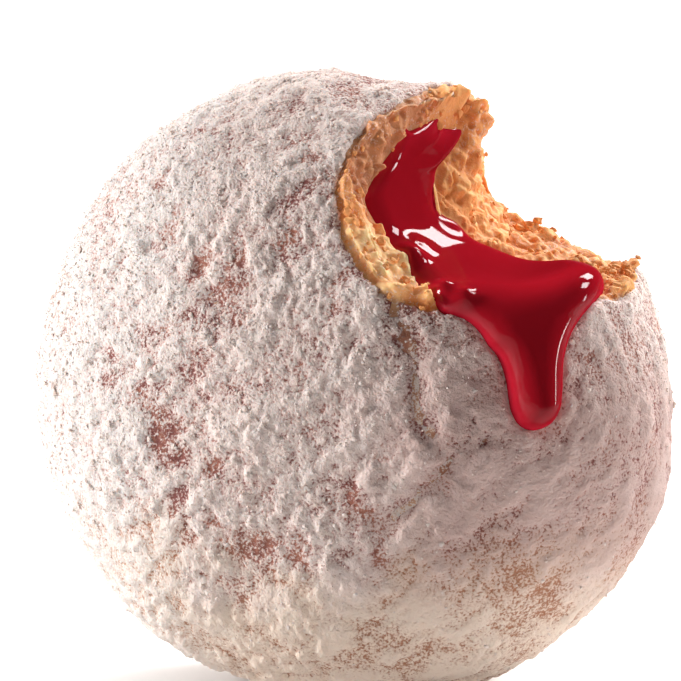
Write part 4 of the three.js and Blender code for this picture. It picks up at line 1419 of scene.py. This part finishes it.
def jelly_material(settings):
    """Wet red jelly, brighter where it is thin."""
    s = Shading("jelly")
    thin = 1 - s.attribute("thick").step(0.15, 0.9)
    colour = s.blend(thin + (s.noise(6.0) - 0.5) * 0.3, settings.colour, settings.thin_colour)
    body = s.shader(base_color=colour, roughness=0.3, specular_ior_level=0.0,
                    subsurface_weight=0.15, subsurface_radius=(1.0, 0.08, 0.08),
                    subsurface_scale=2.0 * MM)
    shine = s.shader(base_color=(1.0, 1.0, 1.0, 1.0), metallic=1.0, roughness=0.05)
    wet = s.node("ShaderNodeMixShader", {}, {0: settings.shine, 1: body, 2: shine})
    return s.output(wet.outputs[0])


# ---------------------------------------------------------------- the stage

CAMERA_RISE = math.radians(5.5)
LENS = 135.0
SENSOR = 36.0
AIM_ACROSS = -1.19               # where the camera aims, from the dough's middle
AIM_UP = 6.72

# Soft boxes: place and aim in metres, width, height and power in watts.
LIGHTS = (
    ("key", (-0.79, -0.03, 0.39), (0.0, 0.0, 0.045), 0.24, 0.24, 8.9),
    ("back", (0.26, 0.46, 0.46), (0.02, 0.0, 0.05), 0.19, 0.16, 4.1),
    ("side", (0.70, 0.04, 0.16), (0.02, 0.0, 0.045), 0.06, 0.20, 1.1),
    ("rim", (0.46, 0.22, 0.60), (0.02, 0.0, 0.045), 0.21, 0.19, 4.0),
)
# The floor in metres: flat to its radius, and its rim bent up.
FIRST_RING = 0.05
FLOOR_RADIUS = 0.80
BEND_RADIUS = 0.16
FLOOR_AROUND = 96
FLAT_RINGS, BEND_RINGS = 8, 17
# Its glow: from nothing to full toward the back, and from full to nothing toward the sides.
START_OF_GLOW, FULL_GLOW = -0.10, 0.05
SIDE_OF_GLOW, END_OF_GLOW = 0.20, 0.40
PAINTED_SHADOW_RADIUS = 0.045             # painted shadow: the glow fades toward the doughnut's foot


def paper_material(settings):
    """Pale floor that gives off light behind the doughnut, with a painted shadow round its foot."""
    s = Shading("pale_paper")
    x, y = s.place_along("X"), s.place_along("Y")
    behind = y.step(START_OF_GLOW, FULL_GLOW) * (x * x).step(END_OF_GLOW ** 2, SIDE_OF_GLOW ** 2)
    # Painted shadow: the glow fades round the doughnut's foot.
    behind = behind * (x * x + y * y).step(0.0, PAINTED_SHADOW_RADIUS ** 2)
    return s.surface(base_color=rgba(settings.floor_colour), roughness=0.8,
                     emission_color=s.blend(behind, (0.0, 0.0, 0.0), (1.0, 1.0, 1.0)),
                     emission_strength=settings.floor_glow)


def floor_piece(settings):
    """Round floor: rings of growing radius, the last of them rising over a quarter circle."""
    around = np.arange(FLOOR_AROUND) / FLOOR_AROUND * 2 * math.pi
    bend = np.linspace(0, math.pi / 2, BEND_RINGS)
    flat = np.linspace(FIRST_RING, FLOOR_RADIUS, FLAT_RINGS + 1)[:-1]
    radius = np.concatenate([flat, FLOOR_RADIUS + BEND_RADIUS * np.sin(bend)])
    height = np.concatenate([0 * flat, BEND_RADIUS * (1 - np.cos(bend))])
    x, y = radius[:, None] * np.cos(around), radius[:, None] * np.sin(around)
    rings = np.stack([x, y, height[:, None] + 0 * x], -1) / MM
    points = np.concatenate([np.zeros((1, 3)), rings.reshape(-1, 3)])
    middle = fan_faces(0, 1 + np.arange(FLOOR_AROUND), outward=True)
    floor = write_mesh("floor", points, ring_faces(len(radius), FLOOR_AROUND, 1), middle)
    floor.data.materials.append(paper_material(settings))


def dim_room(settings):
    """A world of even dim light, and colours shown as they are."""
    world = bpy.data.worlds.new("studio")
    world.use_nodes = True
    background = world.node_tree.nodes["Background"].inputs
    background["Color"].default_value = (1.0, 1.0, 1.0, 1.0)
    background["Strength"].default_value = settings.dim_light
    bpy.context.scene.world = world
    bpy.context.scene.view_settings.view_transform = "Standard"


def soft_box(name, place, aim, width, height, power):
    """A rectangular light at a place, turned toward its aim."""
    light = bpy.data.lights.new(name, "AREA")
    light.shape, light.size, light.size_y, light.energy = "RECTANGLE", width, height, power
    box = bpy.data.objects.new(name, light)
    away = Vector(place) - Vector(aim)
    box.matrix_world = Matrix.Translation(place) @ away.to_track_quat("Z", "Y").to_matrix().to_4x4()
    bpy.context.scene.collection.objects.link(box)


def camera_setup(settings):
    """A long lens a little above the doughnut, looking along +Y."""
    forward = Vector((0.0, math.cos(CAMERA_RISE), -math.sin(CAMERA_RISE)))
    up = Vector((0.0, math.sin(CAMERA_RISE), math.cos(CAMERA_RISE)))
    aim = Vector(MIDDLE * MM) + Vector((AIM_ACROSS * MM, 0.0, 0.0)) + up * (AIM_UP * MM)
    data = bpy.data.cameras.new("camera")
    data.lens, data.sensor_width = LENS, SENSOR
    camera = bpy.data.objects.new("camera", data)
    turn = (-forward).to_track_quat("Z", "Y").to_matrix().to_4x4()
    camera.matrix_world = Matrix.Translation(aim - forward * settings.camera_distance) @ turn
    bpy.context.scene.collection.objects.link(camera)
    bpy.context.scene.camera = camera


# ---------------------------------------------------------------- operators

class DOUGHNUT_OT_dough(bpy.types.Operator):
    """Make the fried dough with its bite and its loose crumbs"""

    bl_idname = "doughnut.dough"
    bl_label = "Dough"

    def execute(self, context):
        settings = context.scene.doughnut.dough
        dough, ground = dough_piece(settings)
        finish_piece(dough, dough_material(settings), "sugared_dough", "dough")
        crumbs = scatter_piece("loose_crumbs", ground, settings.crumb_count, many_faces(), **CRUMBS)
        finish_piece(crumbs, crumb_material(settings), "sugared_dough")
        return {"FINISHED"}


class DOUGHNUT_OT_sugar(bpy.types.Operator):
    """Make the sugar coat with its lumps and grains"""

    bl_idname = "doughnut.sugar"
    bl_label = "Powdered sugar"

    def execute(self, context):
        settings = context.scene.doughnut.sugar
        coat, loose = sugar_material(settings), sugar_lump_material(settings)
        for side, pole, seed in (("front", (0.0, -1.0, 0.0), 71), ("back", (0.0, 1.0, 0.0), 81)):
            piece, outer, normals, cover, shown = coat_piece("sugar_coat_" + side, np.array(pole), settings)
            finish_piece(piece, coat, "sugared_dough")
            shown = shown * (1 - CLEAN_SUGAR * np.maximum(pale_band(outer), painted_shade_share(outer)))
            ground = outer.reshape(-1, 3), normals.reshape(-1, 3)
            weights = (shown * (LUMP_SPREAD + smooth_step(LUMP_COVER, 1, cover))).ravel()
            lumps = scatter_piece("sugar_lumps_" + side, (*ground, weights), settings.lump_count,
                                  many_faces(), seed=seed, **LUMPS)
            finish_piece(lumps, loose, "sugared_dough")
            weights = (shown * (GRAIN_SPREAD + smooth_step(GRAIN_COVER, 1, cover))).ravel()
            grains = scatter_piece("sugar_grains_" + side, (*ground, weights), settings.grain_count,
                                   eight_faces(), seed=seed + 5, **GRAINS)
            finish_piece(grains, loose, "sugared_dough")
        return {"FINISHED"}


class DOUGHNUT_OT_jelly(bpy.types.Operator):
    """Make the jelly in the pocket, in the bite and in the drip"""

    bl_idname = "doughnut.jelly"
    bl_label = "Jelly"

    def execute(self, context):
        settings = context.scene.doughnut.jelly
        finish_piece(jelly_piece(), jelly_material(settings), "jelly", "jelly")
        return {"FINISHED"}


class DOUGHNUT_OT_stage(bpy.types.Operator):
    """Make the floor, the lights and the camera"""

    bl_idname = "doughnut.stage"
    bl_label = "Stage"

    def execute(self, context):
        settings = context.scene.doughnut.stage
        floor_piece(settings)
        for light in LIGHTS:
            soft_box(*light)
        dim_room(settings)
        camera_setup(settings)
        return {"FINISHED"}


class DOUGHNUT_PT_panel(bpy.types.Panel):
    """The doughnut's steps and settings"""

    bl_idname = "DOUGHNUT_PT_panel"
    bl_label = "Jelly Filled Doughnut"
    bl_space_type = "VIEW_3D"
    bl_region_type = "UI"
    bl_category = "Doughnut"

    def draw(self, context):
        settings = context.scene.doughnut
        for group, operator in (("dough", "doughnut.dough"), ("sugar", "doughnut.sugar"),
                                ("jelly", "doughnut.jelly"), ("stage", "doughnut.stage")):
            box = self.layout.box()
            part = getattr(settings, group)
            for name in part.bl_rna.properties.keys():
                if name not in ("rna_type", "name"):
                    box.prop(part, name)
            box.operator(operator)


CLASSES = (
    DoughSettings, SugarSettings, JellySettings, StageSettings, DoughnutSettings,
    DOUGHNUT_OT_dough, DOUGHNUT_OT_sugar, DOUGHNUT_OT_jelly, DOUGHNUT_OT_stage, DOUGHNUT_PT_panel,
)


def register():
    """Adds the classes and the scene's settings."""
    for kind in CLASSES:
        bpy.utils.register_class(kind)
    bpy.types.Scene.doughnut = PointerProperty(type=DoughnutSettings)


def unregister():
    """Takes them out again."""
    del bpy.types.Scene.doughnut
    for kind in reversed(CLASSES):
        bpy.utils.unregister_class(kind)


def main():
    register()
    bpy.ops.doughnut.stage()
    bpy.ops.doughnut.dough()
    bpy.ops.doughnut.sugar()
    bpy.ops.doughnut.jelly()


if __name__ == "__main__":
    main()
